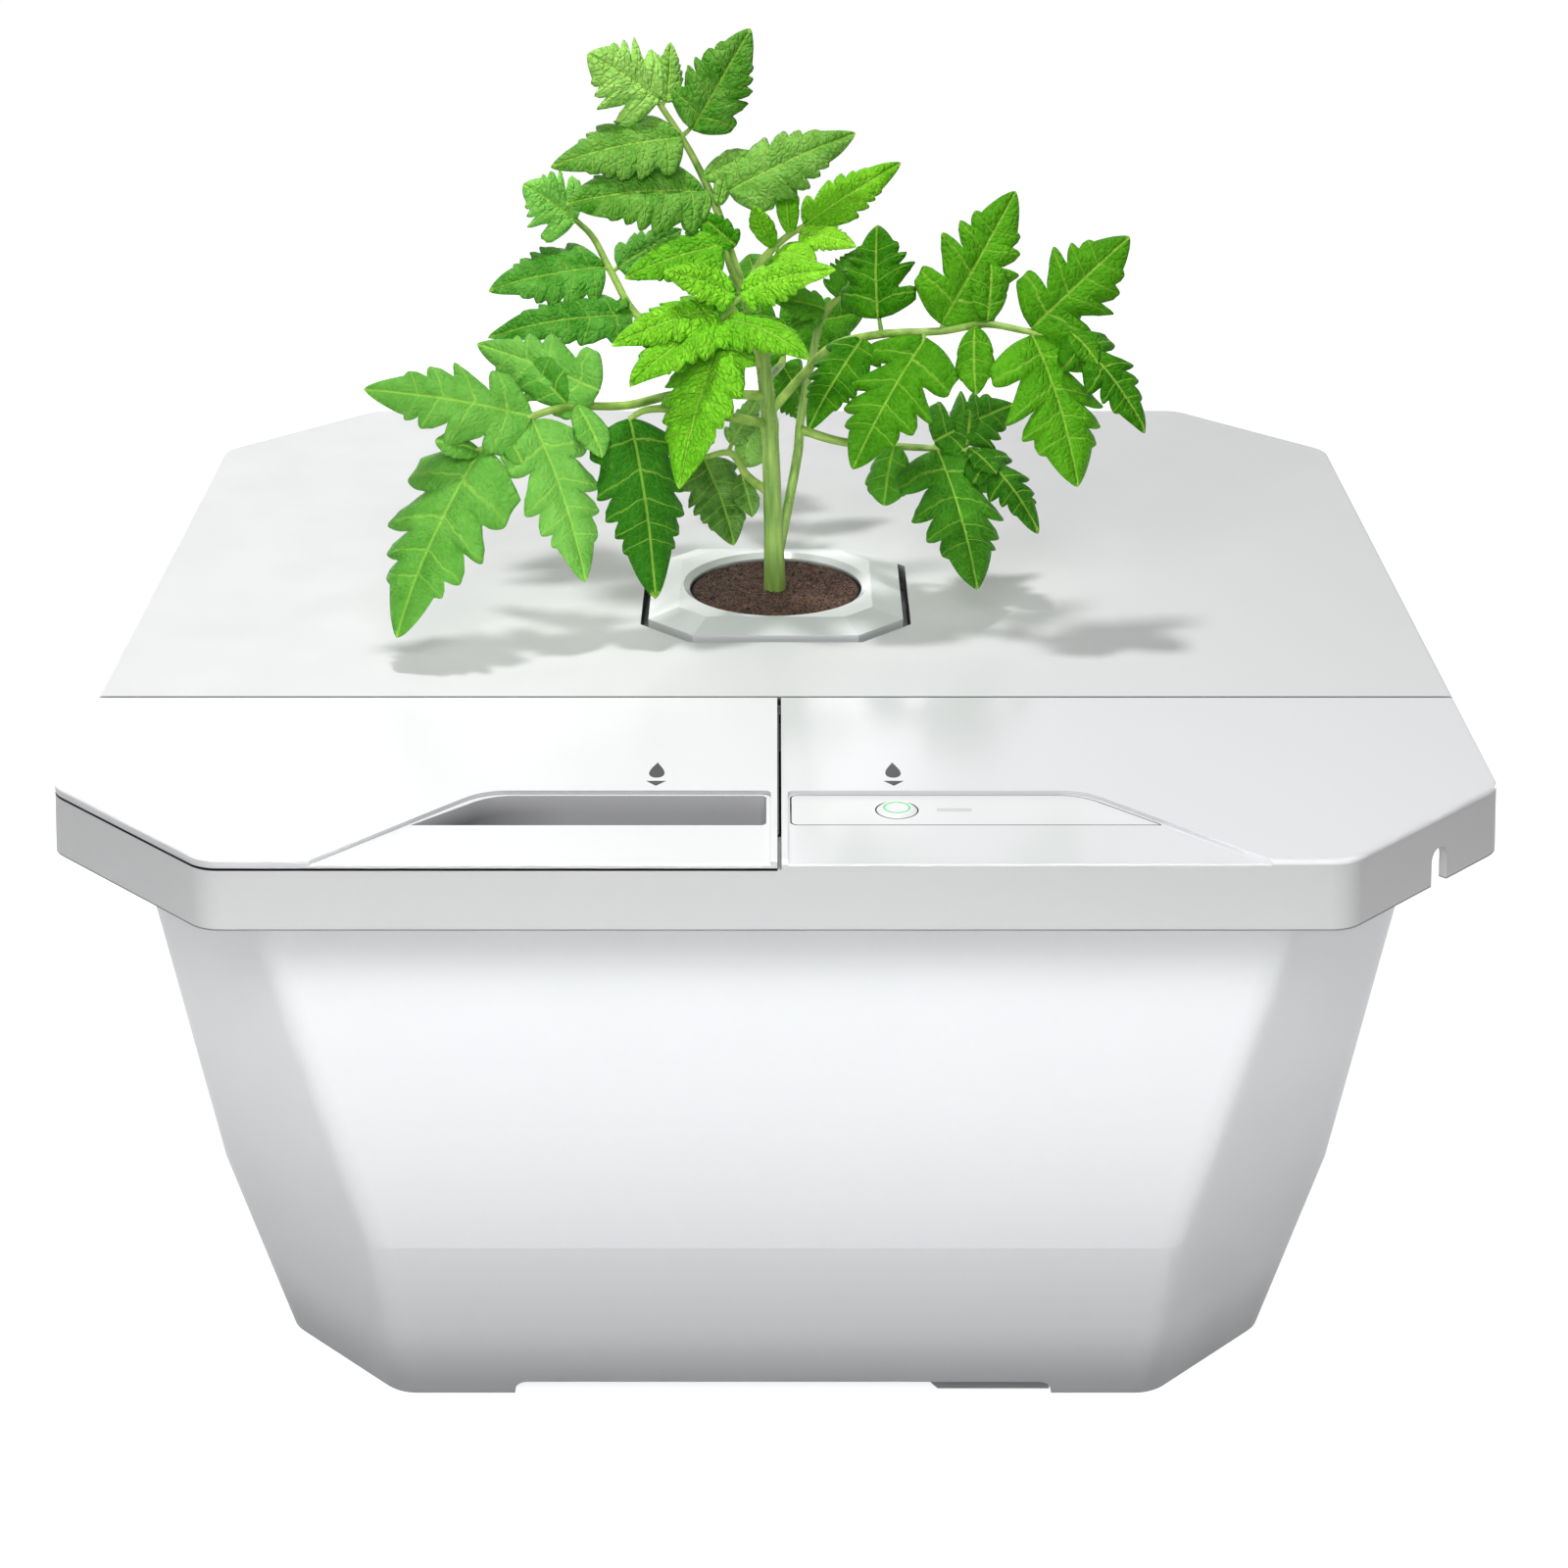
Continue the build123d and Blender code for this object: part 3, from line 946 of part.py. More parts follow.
def control_housing():
    """Tray under the deck that keeps the water off the electronics."""
    flange_low = SEAT_BOTTOM - BAY_FLANGE_THICKNESS
    housing = slab(bay_outline(0), BAY_FLOOR, SEAT_BOTTOM)
    housing += slab(bay_outline(BAY_FLANGE), flange_low, SEAT_BOTTOM)
    inner = region(BAY_LEFT + BAY_WALL, BAY_RIGHT - BAY_WALL, -BAY_FRONT + BAY_WALL, -BAY_BACK - BAY_WALL)
    housing -= slab(inner, BAY_FLOOR + BAY_WALL, TOP)
    for x, y in board_posts():
        housing += rod(x, y, 2.6, BAY_FLOOR + BAY_WALL, BOARD_TOP - BOARD_THICKNESS)
        housing -= rod(x, y, BAY_SCREW_RADIUS + CLEARANCE, BAY_FLOOR + BAY_WALL + 1, TOP)
    for x, y in bay_screw_places():
        housing -= rod(x, y, BAY_SCREW_RADIUS + 0.15, flange_low - 1, TOP)
    button_room = BUTTON_FLANGE_THICKNESS + BUTTON_TRAVEL + CLEARANCE + 0.2
    housing -= rod(BUTTON_X, BUTTON_Y, BUTTON_RADIUS + BUTTON_FLANGE + 0.3, FASCIA_BOTTOM - button_room, TOP)
    housing -= rod(AIR_PUMP_X, AIR_PUMP_Y, 4.2, BAY_FLOOR - 1, BAY_FLOOR + BAY_WALL + 1)
    return housing - rod(SENSOR_X, SENSOR_Y, 4.0 + CLEARANCE, BAY_FLOOR - 1, BAY_FLOOR + BAY_WALL + 1)


def housing_screws():
    screws = []
    flange_low = SEAT_BOTTOM - BAY_FLANGE_THICKNESS
    for x, y in bay_screw_places():
        shank = rod(x, y, BAY_SCREW_RADIUS, flange_low, flange_low + BAY_SCREW_LENGTH)
        screws.append(shank + rod(x, y, 2.0, flange_low - 1.4, flange_low))
    return screws


# ---- Air pump, tube and stone -------------------------------------------------------------------
def air_pump():
    low = BAY_FLOOR + BAY_WALL + 1.2
    body = block(AIR_PUMP_X - 11, AIR_PUMP_X + 11, AIR_PUMP_Y - 22, AIR_PUMP_Y + 12, low, low + 13)
    body = fillet(body.edges().filter_by(Axis.Z), 3)
    motor = Pos(AIR_PUMP_X, AIR_PUMP_Y - 34, low + 8) * Rot(90, 0, 0) * Cylinder(8, 26)
    return body + motor + rod(AIR_PUMP_X, AIR_PUMP_Y, AIR_NIPPLE_RADIUS, BAY_FLOOR - 8, low)


def tube_grommet():
    radius = 4.2 - CLEARANCE
    ring = rod(AIR_PUMP_X, AIR_PUMP_Y, radius, BAY_FLOOR - 1.2, BAY_FLOOR + BAY_WALL + 1.2)
    ring += rod(AIR_PUMP_X, AIR_PUMP_Y, radius + 1.4, BAY_FLOOR - 1.2, BAY_FLOOR)
    ring += rod(AIR_PUMP_X, AIR_PUMP_Y, radius + 1.4, BAY_FLOOR + BAY_WALL, BAY_FLOOR + BAY_WALL + 1.2)
    return ring - rod(AIR_PUMP_X, AIR_PUMP_Y, AIR_NIPPLE_RADIUS + CLEARANCE, BAY_FLOOR - 3, TOP)


def air_tube():
    nipple_top = FLOOR_TOP + STONE_HEIGHT + 2
    path = tube_path(
        [(AIR_PUMP_X, AIR_PUMP_Y, BAY_FLOOR - 1.2), (AIR_PUMP_X, AIR_PUMP_Y, AIR_TUBE_TURN),
         (STONE_X, STONE_Y, AIR_TUBE_DROP), (STONE_X, STONE_Y, nipple_top)], AIR_TUBE_BEND)
    return swept(path, Circle(AIR_TUBE_RADIUS) - Circle(AIR_NIPPLE_RADIUS + CLEARANCE))


def air_stone():
    top = FLOOR_TOP + STONE_HEIGHT
    stone = rod(STONE_X, STONE_Y, STONE_RADIUS, FLOOR_TOP, top)
    stone = fillet(stone.edges().filter_by(GeomType.CIRCLE), 2)
    stone += rod(STONE_X, STONE_Y, AIR_TUBE_RADIUS + 1, top, top + 2)
    return stone + rod(STONE_X, STONE_Y, AIR_NIPPLE_RADIUS, top + 2, top + 9)


# ---- Drain pump ---------------------------------------------------------------------------------
def pump_base():
    return FLOOR_TOP + PUMP_FOOT_HEIGHT


def pump_axis_height():
    return pump_base() + PUMP_HEIGHT / 2


def along_pump(x_low, x_high, radius):
    """Cylinder on the pump's axis, which runs along X."""
    length = x_high - x_low
    centre = Pos((x_low + x_high) / 2, PUMP_Y, pump_axis_height())
    return centre * Rot(0, 90, 0) * Cylinder(radius, length)


def pump_left():
    return PUMP_X - PUMP_LENGTH / 2


def nozzle_x():
    return pump_left() + VOLUTE_DEPTH / 2


def pump_housing():
    low = pump_base()
    left = pump_left()
    right = left + PUMP_LENGTH
    front, back = PUMP_Y - PUMP_WIDTH / 2, PUMP_Y + PUMP_WIDTH / 2
    body = block(left, right, front, back, low, low + PUMP_HEIGHT)
    body = fillet(body.edges().filter_by(Axis.X), 5)
    body += rod(nozzle_x(), PUMP_Y, NOZZLE_RADIUS, low + PUMP_HEIGHT - 4, low + PUMP_HEIGHT + NOZZLE_LENGTH)
    body -= along_pump(left - 1, left + VOLUTE_DEPTH, VOLUTE_RADIUS)
    body -= rod(nozzle_x(), PUMP_Y, NOZZLE_BORE, pump_axis_height(), low + PUMP_HEIGHT + NOZZLE_LENGTH + 1)
    return body - along_pump(left, left + VOLUTE_DEPTH + 8, SHAFT_RADIUS + CLEARANCE)


def pump_shaft():
    return along_pump(pump_left() + 0.5, pump_left() + VOLUTE_DEPTH + 8, SHAFT_RADIUS)


def pump_impeller():
    left = pump_left()
    disc = along_pump(left + VOLUTE_DEPTH - 3, left + VOLUTE_DEPTH - 1, IMPELLER_RADIUS)
    hub = along_pump(left + 2, left + VOLUTE_DEPTH - 1, SHAFT_RADIUS + 2)
    wheel = disc + hub
    for vane in range(IMPELLER_VANES):
        angle = 360 * vane / IMPELLER_VANES
        blade = block(left + 3, left + VOLUTE_DEPTH - 3, -0.6, 0.6, SHAFT_RADIUS + 1, IMPELLER_RADIUS - 0.5)
        wheel += Pos(0, PUMP_Y, pump_axis_height()) * Rot(angle, 0, 0) * blade
    return wheel - along_pump(left, left + VOLUTE_DEPTH, SHAFT_RADIUS + CLEARANCE)


def pump_cover():
    """Intake cover with a ring of strainer holes."""
    left = pump_left()
    low = pump_base()
    plate = block(left - PUMP_COVER_THICKNESS, left, PUMP_Y - PUMP_WIDTH / 2, PUMP_Y + PUMP_WIDTH / 2,
                  low, low + PUMP_HEIGHT)
    plate = fillet(plate.edges().filter_by(Axis.X), 5)
    for hole in range(8):
        angle = 2 * pi * hole / 8
        place = Pos(left - 2, PUMP_Y + 7 * cos(angle), pump_axis_height() + 7 * sin(angle))
        plate -= place * Rot(0, 90, 0) * Cylinder(1.8, 10)
    return plate


def pump_feet():
    """Rubber feet under the pump."""
    xs = (pump_left() + 7, pump_left() + PUMP_LENGTH - 7)
    ys = (PUMP_Y - PUMP_WIDTH / 2 + 7, PUMP_Y + PUMP_WIDTH / 2 - 7)
    return [rod(x, y, 4, FLOOR_TOP, pump_base()) for x in xs for y in ys]


def elbow_centre():
    """Middle of the elbow behind the spout, on the inner side of the tub's wall."""
    return corner_plane(NOTCH_OFFSET, SPOUT_DEPTH, inward=TUB_WALL + 10).origin


def drain_spout():
    plane = corner_plane(NOTCH_OFFSET, SPOUT_DEPTH)
    flange = extrude(plane * Circle(SPOUT_FLANGE_RADIUS), 2.5)
    shank = extrude(plane * Circle(SPOUT_SHANK_RADIUS), -TUB_WALL - 10)
    barb = extrude(plane * Circle(SPOUT_BARB_RADIUS), 2.5 + SPOUT_BARB_LENGTH)
    middle = elbow_centre()
    ball = Pos(middle) * Sphere(SPOUT_SHANK_RADIUS + 1)
    leg = rod(middle.X, middle.Y, NOZZLE_RADIUS, middle.Z - 12, middle.Z)
    spout = flange + shank + barb + ball + leg
    spout -= extrude(plane * Circle(1.5), 2.5 + SPOUT_BARB_LENGTH + 1)
    spout -= extrude(plane * Circle(1.5), -TUB_WALL - 10)
    return spout - rod(middle.X, middle.Y, 1.5, middle.Z - 15, middle.Z)


def spout_nut():
    plane = corner_plane(NOTCH_OFFSET, SPOUT_DEPTH, inward=TUB_WALL * 1.02)
    nut = RegularPolygon(SPOUT_FLANGE_RADIUS, 6) - Circle(SPOUT_SHANK_RADIUS + CLEARANCE)
    return extrude(plane * nut, -3)


def lead_gland():
    """Rubber gland beside the spout, where the power lead comes in."""
    plane = corner_plane(GLAND_OFFSET, SPOUT_DEPTH)
    gland = extrude(plane * Circle(SPOUT_FLANGE_RADIUS), 2)
    gland += extrude(plane * Circle(SPOUT_SHANK_RADIUS), -TUB_WALL - 1.5)
    inner = corner_plane(GLAND_OFFSET, SPOUT_DEPTH, inward=TUB_WALL * 1.02)
    gland += extrude(inner * Circle(SPOUT_FLANGE_RADIUS - 0.8), -1.5)
    gland -= extrude(plane * Circle(2.2), 5)
    return gland - extrude(plane * Circle(2.2), -TUB_WALL - 6)


def drain_hose():
    top = elbow_centre()
    outlet = pump_base() + PUMP_HEIGHT
    path = tube_path(
        [(top.X, top.Y, top.Z - 5.5), (top.X, top.Y, top.Z - 20),
         (nozzle_x(), PUMP_Y, outlet + 44), (nozzle_x(), PUMP_Y, outlet + 0.2)], 12)
    bore = NOZZLE_RADIUS + CLEARANCE
    return swept(path, Circle(bore + HOSE_WALL) - Circle(bore))


# ---- Water level sensor -------------------------------------------------------------------------
def level_sensor():
    stem = rod(SENSOR_X, SENSOR_Y, SENSOR_RADIUS, SENSOR_FOOT, BAY_FLOOR - 3)
    stem += rod(SENSOR_X, SENSOR_Y, 6, BAY_FLOOR - 3, BAY_FLOOR)
    return stem + rod(SENSOR_X, SENSOR_Y, 4, BAY_FLOOR, BAY_FLOOR + BAY_WALL + 4)


def sensor_nut():
    low = BAY_FLOOR + BAY_WALL
    nut = RegularPolygon(6.5, 6) - Circle(4 + CLEARANCE)
    return Pos(SENSOR_X, SENSOR_Y, low) * extrude(nut, 3)


def float_clip():
    low = SENSOR_FOOT + 1
    clip = rod(SENSOR_X, SENSOR_Y, 5, low, low + 2)
    return clip - rod(SENSOR_X, SENSOR_Y, SENSOR_RADIUS + CLEARANCE, low - 1, TOP)


def level_float():
    low = SENSOR_FOOT + 3
    body = rod(SENSOR_X, SENSOR_Y, FLOAT_RADIUS, low, low + FLOAT_HEIGHT)
    body = fillet(body.edges().filter_by(GeomType.CIRCLE), 2)
    return body - rod(SENSOR_X, SENSOR_Y, SENSOR_RADIUS + 2 * CLEARANCE, low - 1, low + FLOAT_HEIGHT + 1)


# ---- Files --------------------------------------------------------------------------------------
NODES = [
    reservoir_tub, rim_gasket, foot_pads, sump_cover, rim_frame, frame_screws, main_lid, basket_collar,
    net_cup, grow_plug, roots, plant_stem, fill_cover, cover_pads, control_fascia, drain_button,
    button_light_ring, led_window, switch_dome, drain_switch, control_board, board_screws, board_parts,
    control_housing, housing_screws, air_pump, tube_grommet, air_tube, air_stone, pump_housing,
    pump_shaft, pump_impeller, pump_cover, pump_feet, drain_spout, spout_nut, lead_gland, drain_hose,
    level_sensor, sensor_nut, float_clip, level_float,
]


def write(name, shape):
    if isinstance(shape, list):
        shape = Compound(children=shape)
    export_step(shape, f"parts/{name}.step")


os.makedirs("parts", exist_ok=True)
for make in NODES:
    write(make.__name__, make())
for leaf_name in LEAVES:
    write(leaf_name, leaf(leaf_name))
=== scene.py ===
"""Looks of a countertop hydroponic garden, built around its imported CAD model.  Metres, +Z up."""
import math
import random

import bpy
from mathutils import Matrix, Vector, noise


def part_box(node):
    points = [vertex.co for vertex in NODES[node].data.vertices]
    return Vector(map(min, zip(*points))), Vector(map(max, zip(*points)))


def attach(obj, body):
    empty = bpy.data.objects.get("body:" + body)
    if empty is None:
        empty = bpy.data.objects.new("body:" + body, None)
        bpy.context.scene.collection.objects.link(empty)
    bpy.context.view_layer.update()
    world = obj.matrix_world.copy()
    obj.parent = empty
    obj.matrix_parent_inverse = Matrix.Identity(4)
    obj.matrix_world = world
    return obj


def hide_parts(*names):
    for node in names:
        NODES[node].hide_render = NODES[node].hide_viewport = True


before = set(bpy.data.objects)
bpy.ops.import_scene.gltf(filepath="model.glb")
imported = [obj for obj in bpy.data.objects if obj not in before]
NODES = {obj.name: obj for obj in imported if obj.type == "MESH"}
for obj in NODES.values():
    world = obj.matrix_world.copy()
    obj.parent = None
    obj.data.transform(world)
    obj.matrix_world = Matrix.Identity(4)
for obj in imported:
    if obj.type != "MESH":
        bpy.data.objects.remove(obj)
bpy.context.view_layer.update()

MM = 0.001
LID_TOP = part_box("main_lid")[1].z
LID_CENTRE = Vector((0, 0, LID_TOP))
SOIL_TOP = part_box("grow_plug")[1].z


def from_lid(x, y, z=0.0):
    """Point given in millimetres from the middle of the lid's top."""
    return LID_CENTRE + Vector((x, y, z)) * MM


def add_object(name, data):
    """New object in the scene, around a mesh, a lamp or a camera."""
    made = bpy.data.objects.new(name, data)
    bpy.context.scene.collection.objects.link(made)
    return made


# ---- Camera -------------------------------------------------------------------------------------
CAMERA_DISTANCE = 855.5      # mm in front of the middle of the lid
CAMERA_RISE = 317.5          # mm above the lid
CAMERA_PITCH = 23.79         # degrees below the horizon
CAMERA_LENS = 72.64          # mm
SENSOR_WIDTH = 36            # mm
CAMERA_SHIFT = 0.0053        # the object stands just left of the middle


def make_camera():
    data = bpy.data.cameras.new("camera")
    data.lens = CAMERA_LENS
    data.sensor_width = SENSOR_WIDTH
    data.shift_x = CAMERA_SHIFT
    camera = add_object("camera", data)
    camera.location = from_lid(0, -CAMERA_DISTANCE, CAMERA_RISE)
    camera.rotation_euler = (math.radians(90 - CAMERA_PITCH), 0, 0)
    bpy.context.scene.camera = camera


# ---- Shader helpers -----------------------------------------------------------------------------
def srgb(code):
    """Linear colour from a hex code."""
    parts = [int(code[i:i + 2], 16) / 255 for i in (0, 2, 4)]
    linear = [c / 12.92 if c <= 0.04045 else ((c + 0.055) / 1.055) ** 2.4 for c in parts]
    return (*linear, 1.0)


def scaled(color, by):
    return (*[min(1.0, c * by) for c in color[:3]], 1.0)


# Colour of painted shade, in gaps and in lines where shade falls.
PAINTED_SHADE_BLACK = (0.004, 0.004, 0.004, 1.0)
WHITE = (1.0, 1.0, 1.0, 1.0)
OCCLUSION_SAMPLES = 8
UPRIGHT, FLAT = 0.35, 0.75   # rise of a face's normal, where it stops being a side and is a top
SHUT, OPEN = 0.25, 0.60      # light that gets into a gap, where it looks black and where it doesn't
MOTTLE_SCALE = 9.0           # noise cells per metre in faint mottling,
SHEEN_SCALE = 55.0           # in an uneven sheen
GRAIN_SCALE = 1900.0         # and in moulded grain
GRAIN_DEPTH = 0.2 * MM
NOISE_LOW, NOISE_HIGH = 0.3, 0.7


class Shader:
    """A material with short calls to add nodes."""

    def __init__(self, name):
        self.material = bpy.data.materials.new(name)
        self.material.use_nodes = True
        self.tree = self.material.node_tree
        self.surface = self.tree.nodes["Principled BSDF"]

    def add(self, kind, values=None, **settings):
        made = self.tree.nodes.new("ShaderNode" + kind)
        for name, value in settings.items():
            setattr(made, name, value)
        for name, value in (values or {}).items():
            self.give(made.inputs[name], value)
        return made

    def give(self, socket, value):
        if isinstance(value, bpy.types.NodeSocket):
            self.tree.links.new(value, socket)
        else:
            socket.default_value = value

    def set(self, **values):
        for name, value in values.items():
            self.give(self.surface.inputs[name.replace("_", " ")], value)

    def math(self, operation, first, second=0.0):
        return self.add("Math", {0: first, 1: second}, operation=operation).outputs[0]

    def map(self, value, low, high, to_low=0.0, to_high=1.0, smooth=False):
        kind = "SMOOTHSTEP" if smooth else "LINEAR"
        values = {"Value": value, "From Min": low, "From Max": high,
                  "To Min": to_low, "To Max": to_high}
        return self.add("MapRange", values, interpolation_type=kind).outputs["Result"]

    def mix(self, factor, first, second):
        made = self.add("Mix", data_type="RGBA")
        self.give(made.inputs["Factor"], factor)
        self.give(made.inputs[6], first)
        self.give(made.inputs[7], second)
        return made.outputs[2]

    def noise(self, position, scale, detail=2.0, roughness=0.5):
        values = {"Vector": position, "Scale": scale, "Detail": detail, "Roughness": roughness}
        return self.add("TexNoise", values).outputs["Fac"]

    def uneven(self, position, scale, low, high):
        """A value that wanders between low and high."""
        return self.map(self.noise(position, scale), NOISE_LOW, NOISE_HIGH, low, high)

    def bump(self, height, strength, distance):
        values = {"Height": height, "Strength": strength, "Distance": distance}
        return self.add("Bump", values).outputs["Normal"]

    def grain(self, position, strength, detail=2.0):
        """Fine grain of a moulded face."""
        return self.bump(self.noise(position, GRAIN_SCALE, detail), strength, GRAIN_DEPTH)

    def place(self):
        return self.add("TexCoord").outputs["Object"]

    def attribute(self, name):
        return self.add("Attribute", attribute_name=name).outputs["Fac"]

    def part(self, vector, axis):
        return self.add("SeparateXYZ", {"Vector": vector}).outputs[axis]

    def height(self):
        """Millimetres above the lid's top."""
        above = self.math("SUBTRACT", self.part(self.place(), "Z"), LID_TOP)
        return self.math("DIVIDE", above, MM)

    def upward(self):
        """1 on faces that look up, 0 on upright ones."""
        normal = self.add("NewGeometry").outputs["True Normal"]
        return self.map(self.part(normal, "Z"), UPRIGHT, FLAT, smooth=True)

    def clear(self, reach):
        """Share of the light that gets past what stands within the reach, in millimetres."""
        near = self.add("AmbientOcclusion", {"Distance": reach * MM}, samples=OCCLUSION_SAMPLES)
        return near.outputs["AO"]

    def with_gap_shade(self, color, reach):
        """The colour with painted shade: near black inside gaps that are narrow beside the reach in
        millimetres.
        """
        return self.mix(self.map(self.clear(reach), SHUT, OPEN, smooth=True), PAINTED_SHADE_BLACK, color)


# ---- Hard materials -----------------------------------------------------------------------------
ROUGHNESS_SWING = 0.04
COAT_ROUGHNESS = 0.08
SATIN = (0.38, 0.46)         # roughness of the tub and the cover

# Rim frame. Spans in millimetres above the lid's top: where its deck passes into its band, and the
# painted shade of its upright faces begins; where the painted shade in its joints with the lid and
# the cover begins; the painted shade under its ledge; and the painted shade at its foot.
DECK_EDGE = (-1.3, -1.0)
JOINT_START = (-1.35, -1.15)
LEDGE_SHADE = ((-2.85, -2.70), (-2.4, -2.2))
FOOT_SHADE = (-17.8, -17.5)
# Spans in metres to the right of the middle, where the painted shade on the ledge ends and where
# the painted gap shade down the cross beam ends.
LEDGE_END = (0.4 * MM, 0.5 * MM)
BEAM_END = (1.9 * MM, 2.0 * MM)

# Fill pocket, painted shade: from its darkest left end to its lighter right end, and from its floor
# to its edge.
POCKET_LENGTH = (-80 * MM, -52 * MM)
POCKET_DEPTH = (-6.0, -1.4)

TUB_SHADE_REACH = 26         # mm
TUB_SHADE = (0.45, 0.95)


def plastic(name, color, roughness, grain=0.06, mottle=0.02, coat=0.0, gap_shade_reach=0.0):
    """Moulded plastic: mottled a little, with fine grain and an uneven sheen; painted shade darkens
    it in gaps.
    """
    s = Shader(name)
    place = s.place()
    mottling = s.noise(place, MOTTLE_SCALE, 3.0)
    skin = s.mix(mottling, scaled(color, 1 - mottle), scaled(color, 1 + mottle))
    # Painted shade: near black in gaps narrower than the reach.
    s.set(Base_Color=s.with_gap_shade(skin, gap_shade_reach) if gap_shade_reach else skin)
    low, high = roughness - ROUGHNESS_SWING, roughness + ROUGHNESS_SWING
    s.set(Roughness=s.uneven(place, SHEEN_SCALE, low, high))
    s.set(Coat_Weight=coat, Coat_Roughness=COAT_ROUGHNESS)
    s.set(Normal=s.grain(place, grain, 1.0))
    return s.material


def metal(name, color, roughness):
    """Turned steel with fine streaks."""
    s = Shader(name)
    place = s.place()
    streaks = s.add("Mapping", {"Vector": place, "Scale": (400.0, 400.0, 4000.0)}).outputs["Vector"]
    line = s.noise(streaks, 1.0, 2.0)
    s.set(Base_Color=s.mix(line, scaled(color, 0.85), color), Metallic=1.0)
    low, high = roughness - 2 * ROUGHNESS_SWING, roughness + 2 * ROUGHNESS_SWING
    s.set(Roughness=s.map(line, NOISE_LOW, NOISE_HIGH, low, high))
    return s.material


def rubber(name, color):
    """Dull rubber with uneven tone."""
    s = Shader(name)
    place = s.place()
    s.set(Base_Color=s.mix(s.noise(place, 120.0), scaled(color, 0.8), scaled(color, 1.15)))
    s.set(Roughness=s.map(s.noise(place, 400.0), 0.2, 0.8, 0.62, 0.82))
    s.set(Normal=s.bump(s.noise(place, 2500.0), 0.15, GRAIN_DEPTH))
    return s.material


def frame_plastic():
    """Rim frame: glossy white deck on top, matt light grey band round the side, darkened further by
    painted shade on upright faces; painted shade in its joints, under its ledge and at its foot.
    """
    s = Shader("rim_frame_plastic")
    place = s.place()
    height, right = s.height(), s.part(place, "X")
    top = s.math("MAXIMUM", s.upward(), s.map(height, *DECK_EDGE, smooth=True))
    # Upright faces take the band's grey: a light grey of its own, deepened by painted shade.
    shaded_band = s.mix(s.noise(place, MOTTLE_SCALE), srgb("c8c8c8"), srgb("cccccc"))
    deck = s.mix(s.noise(place, 6.0), srgb("e3e3e6"), srgb("e7e7e9"))
    skin = s.mix(top, shaded_band, deck)
    # Painted shade: near black in the joints below the deck and down the cross beam.
    below, on_beam = s.map(height, *JOINT_START, 1.0, 0.0), s.map(right, *BEAM_END, 1.0, 0.0)
    skin = s.mix(s.math("MAXIMUM", below, on_beam), skin, s.with_gap_shade(skin, 3.0))
    # Painted shade: a black line on the ledge left of the middle, and the band darkened from its
    # foot down.
    low, high = LEDGE_SHADE
    ledge_shade = s.math("MULTIPLY", s.map(height, *low), s.map(height, *high, 1.0, 0.0))
    ledge_shade = s.math("MULTIPLY", ledge_shade, s.map(right, *LEDGE_END, 1.0, 0.0))
    foot = s.map(height, *FOOT_SHADE, 0.75, 0.0)
    s.set(Base_Color=s.mix(s.math("MAXIMUM", ledge_shade, foot), skin, PAINTED_SHADE_BLACK))
    s.set(Roughness=s.map(top, 0.0, 1.0, 0.52, 0.16))
    s.set(Normal=s.grain(place, 0.05))
    return s.material


def tub_plastic():
    """Tub: satin white, darkened by painted shade under the rim."""
    s = Shader("tub_plastic")
    place = s.place()
    skin = s.mix(s.noise(place, MOTTLE_SCALE, 3.0), srgb("f2f3f5"), srgb("f6f7f9"))
    # Painted shade: the colour falls towards a grey where the rim's overhang hides the room.
    lit = s.map(s.clear(TUB_SHADE_REACH), *TUB_SHADE)
    s.set(Base_Color=s.mix(lit, srgb("c6c7c9"), skin))
    s.set(Roughness=s.uneven(place, SHEEN_SCALE, *SATIN))
    s.set(Normal=s.grain(place, 0.05))
    return s.material


def cover_plastic():
    """Fill cover: white top, upright edges greyed by painted shade, a pocket darkened by painted
    shade, darkest to the left, and painted shade in gaps.
    """
    s = Shader("cover_plastic")
    place = s.place()
    top = s.mix(s.noise(place, MOTTLE_SCALE, 3.0), srgb("eeeef0"), srgb("f2f2f4"))
    # Painted shade: upright faces take a greyer colour than the top.
    skin = s.mix(s.upward(), srgb("d2d2d4"), top)
    # Painted shade in the fill pocket, darkest at its left end and deep down.
    along = s.map(s.part(place, "X"), *POCKET_LENGTH)
    pocket_shade = s.mix(along, srgb("7c7c7e"), srgb("c0c0c3"))
    skin = s.mix(s.map(s.height(), *POCKET_DEPTH), pocket_shade, skin)
    # Painted shade: near black in gaps.
    s.set(Base_Color=s.with_gap_shade(skin, 3.0))
    s.set(Roughness=s.uneven(place, SHEEN_SCALE, *SATIN))
    s.set(Normal=s.grain(place, 0.04))
    return s.material


def board_lacquer():
    """Circuit board: green lacquer with faint tracks."""
    s = Shader("board_lacquer")
    place = s.place()
    tracks = s.add("TexBrick", {"Vector": place, "Scale": 160.0, "Mortar Size": 0.03,
                                "Color1": srgb("145c34"), "Color2": srgb("11502d"),
                                "Mortar": srgb("2f8a52")})
    s.set(Base_Color=tracks.outputs["Color"], Roughness=s.uneven(place, 90.0, 0.25, 0.4))
    return s.material


def glowing_ring():
    """Light ring: green plastic, lit a little from within."""
    s = Shader("green_light")
    place = s.place()
    green = s.mix(s.noise(place, 900.0), srgb("36cf62"), srgb("58e27f"))
    s.set(Base_Color=green, Roughness=s.uneven(place, 700.0, 0.2, 0.35))
    s.set(Emission_Color=green, Emission_Strength=0.25)
    return s.material


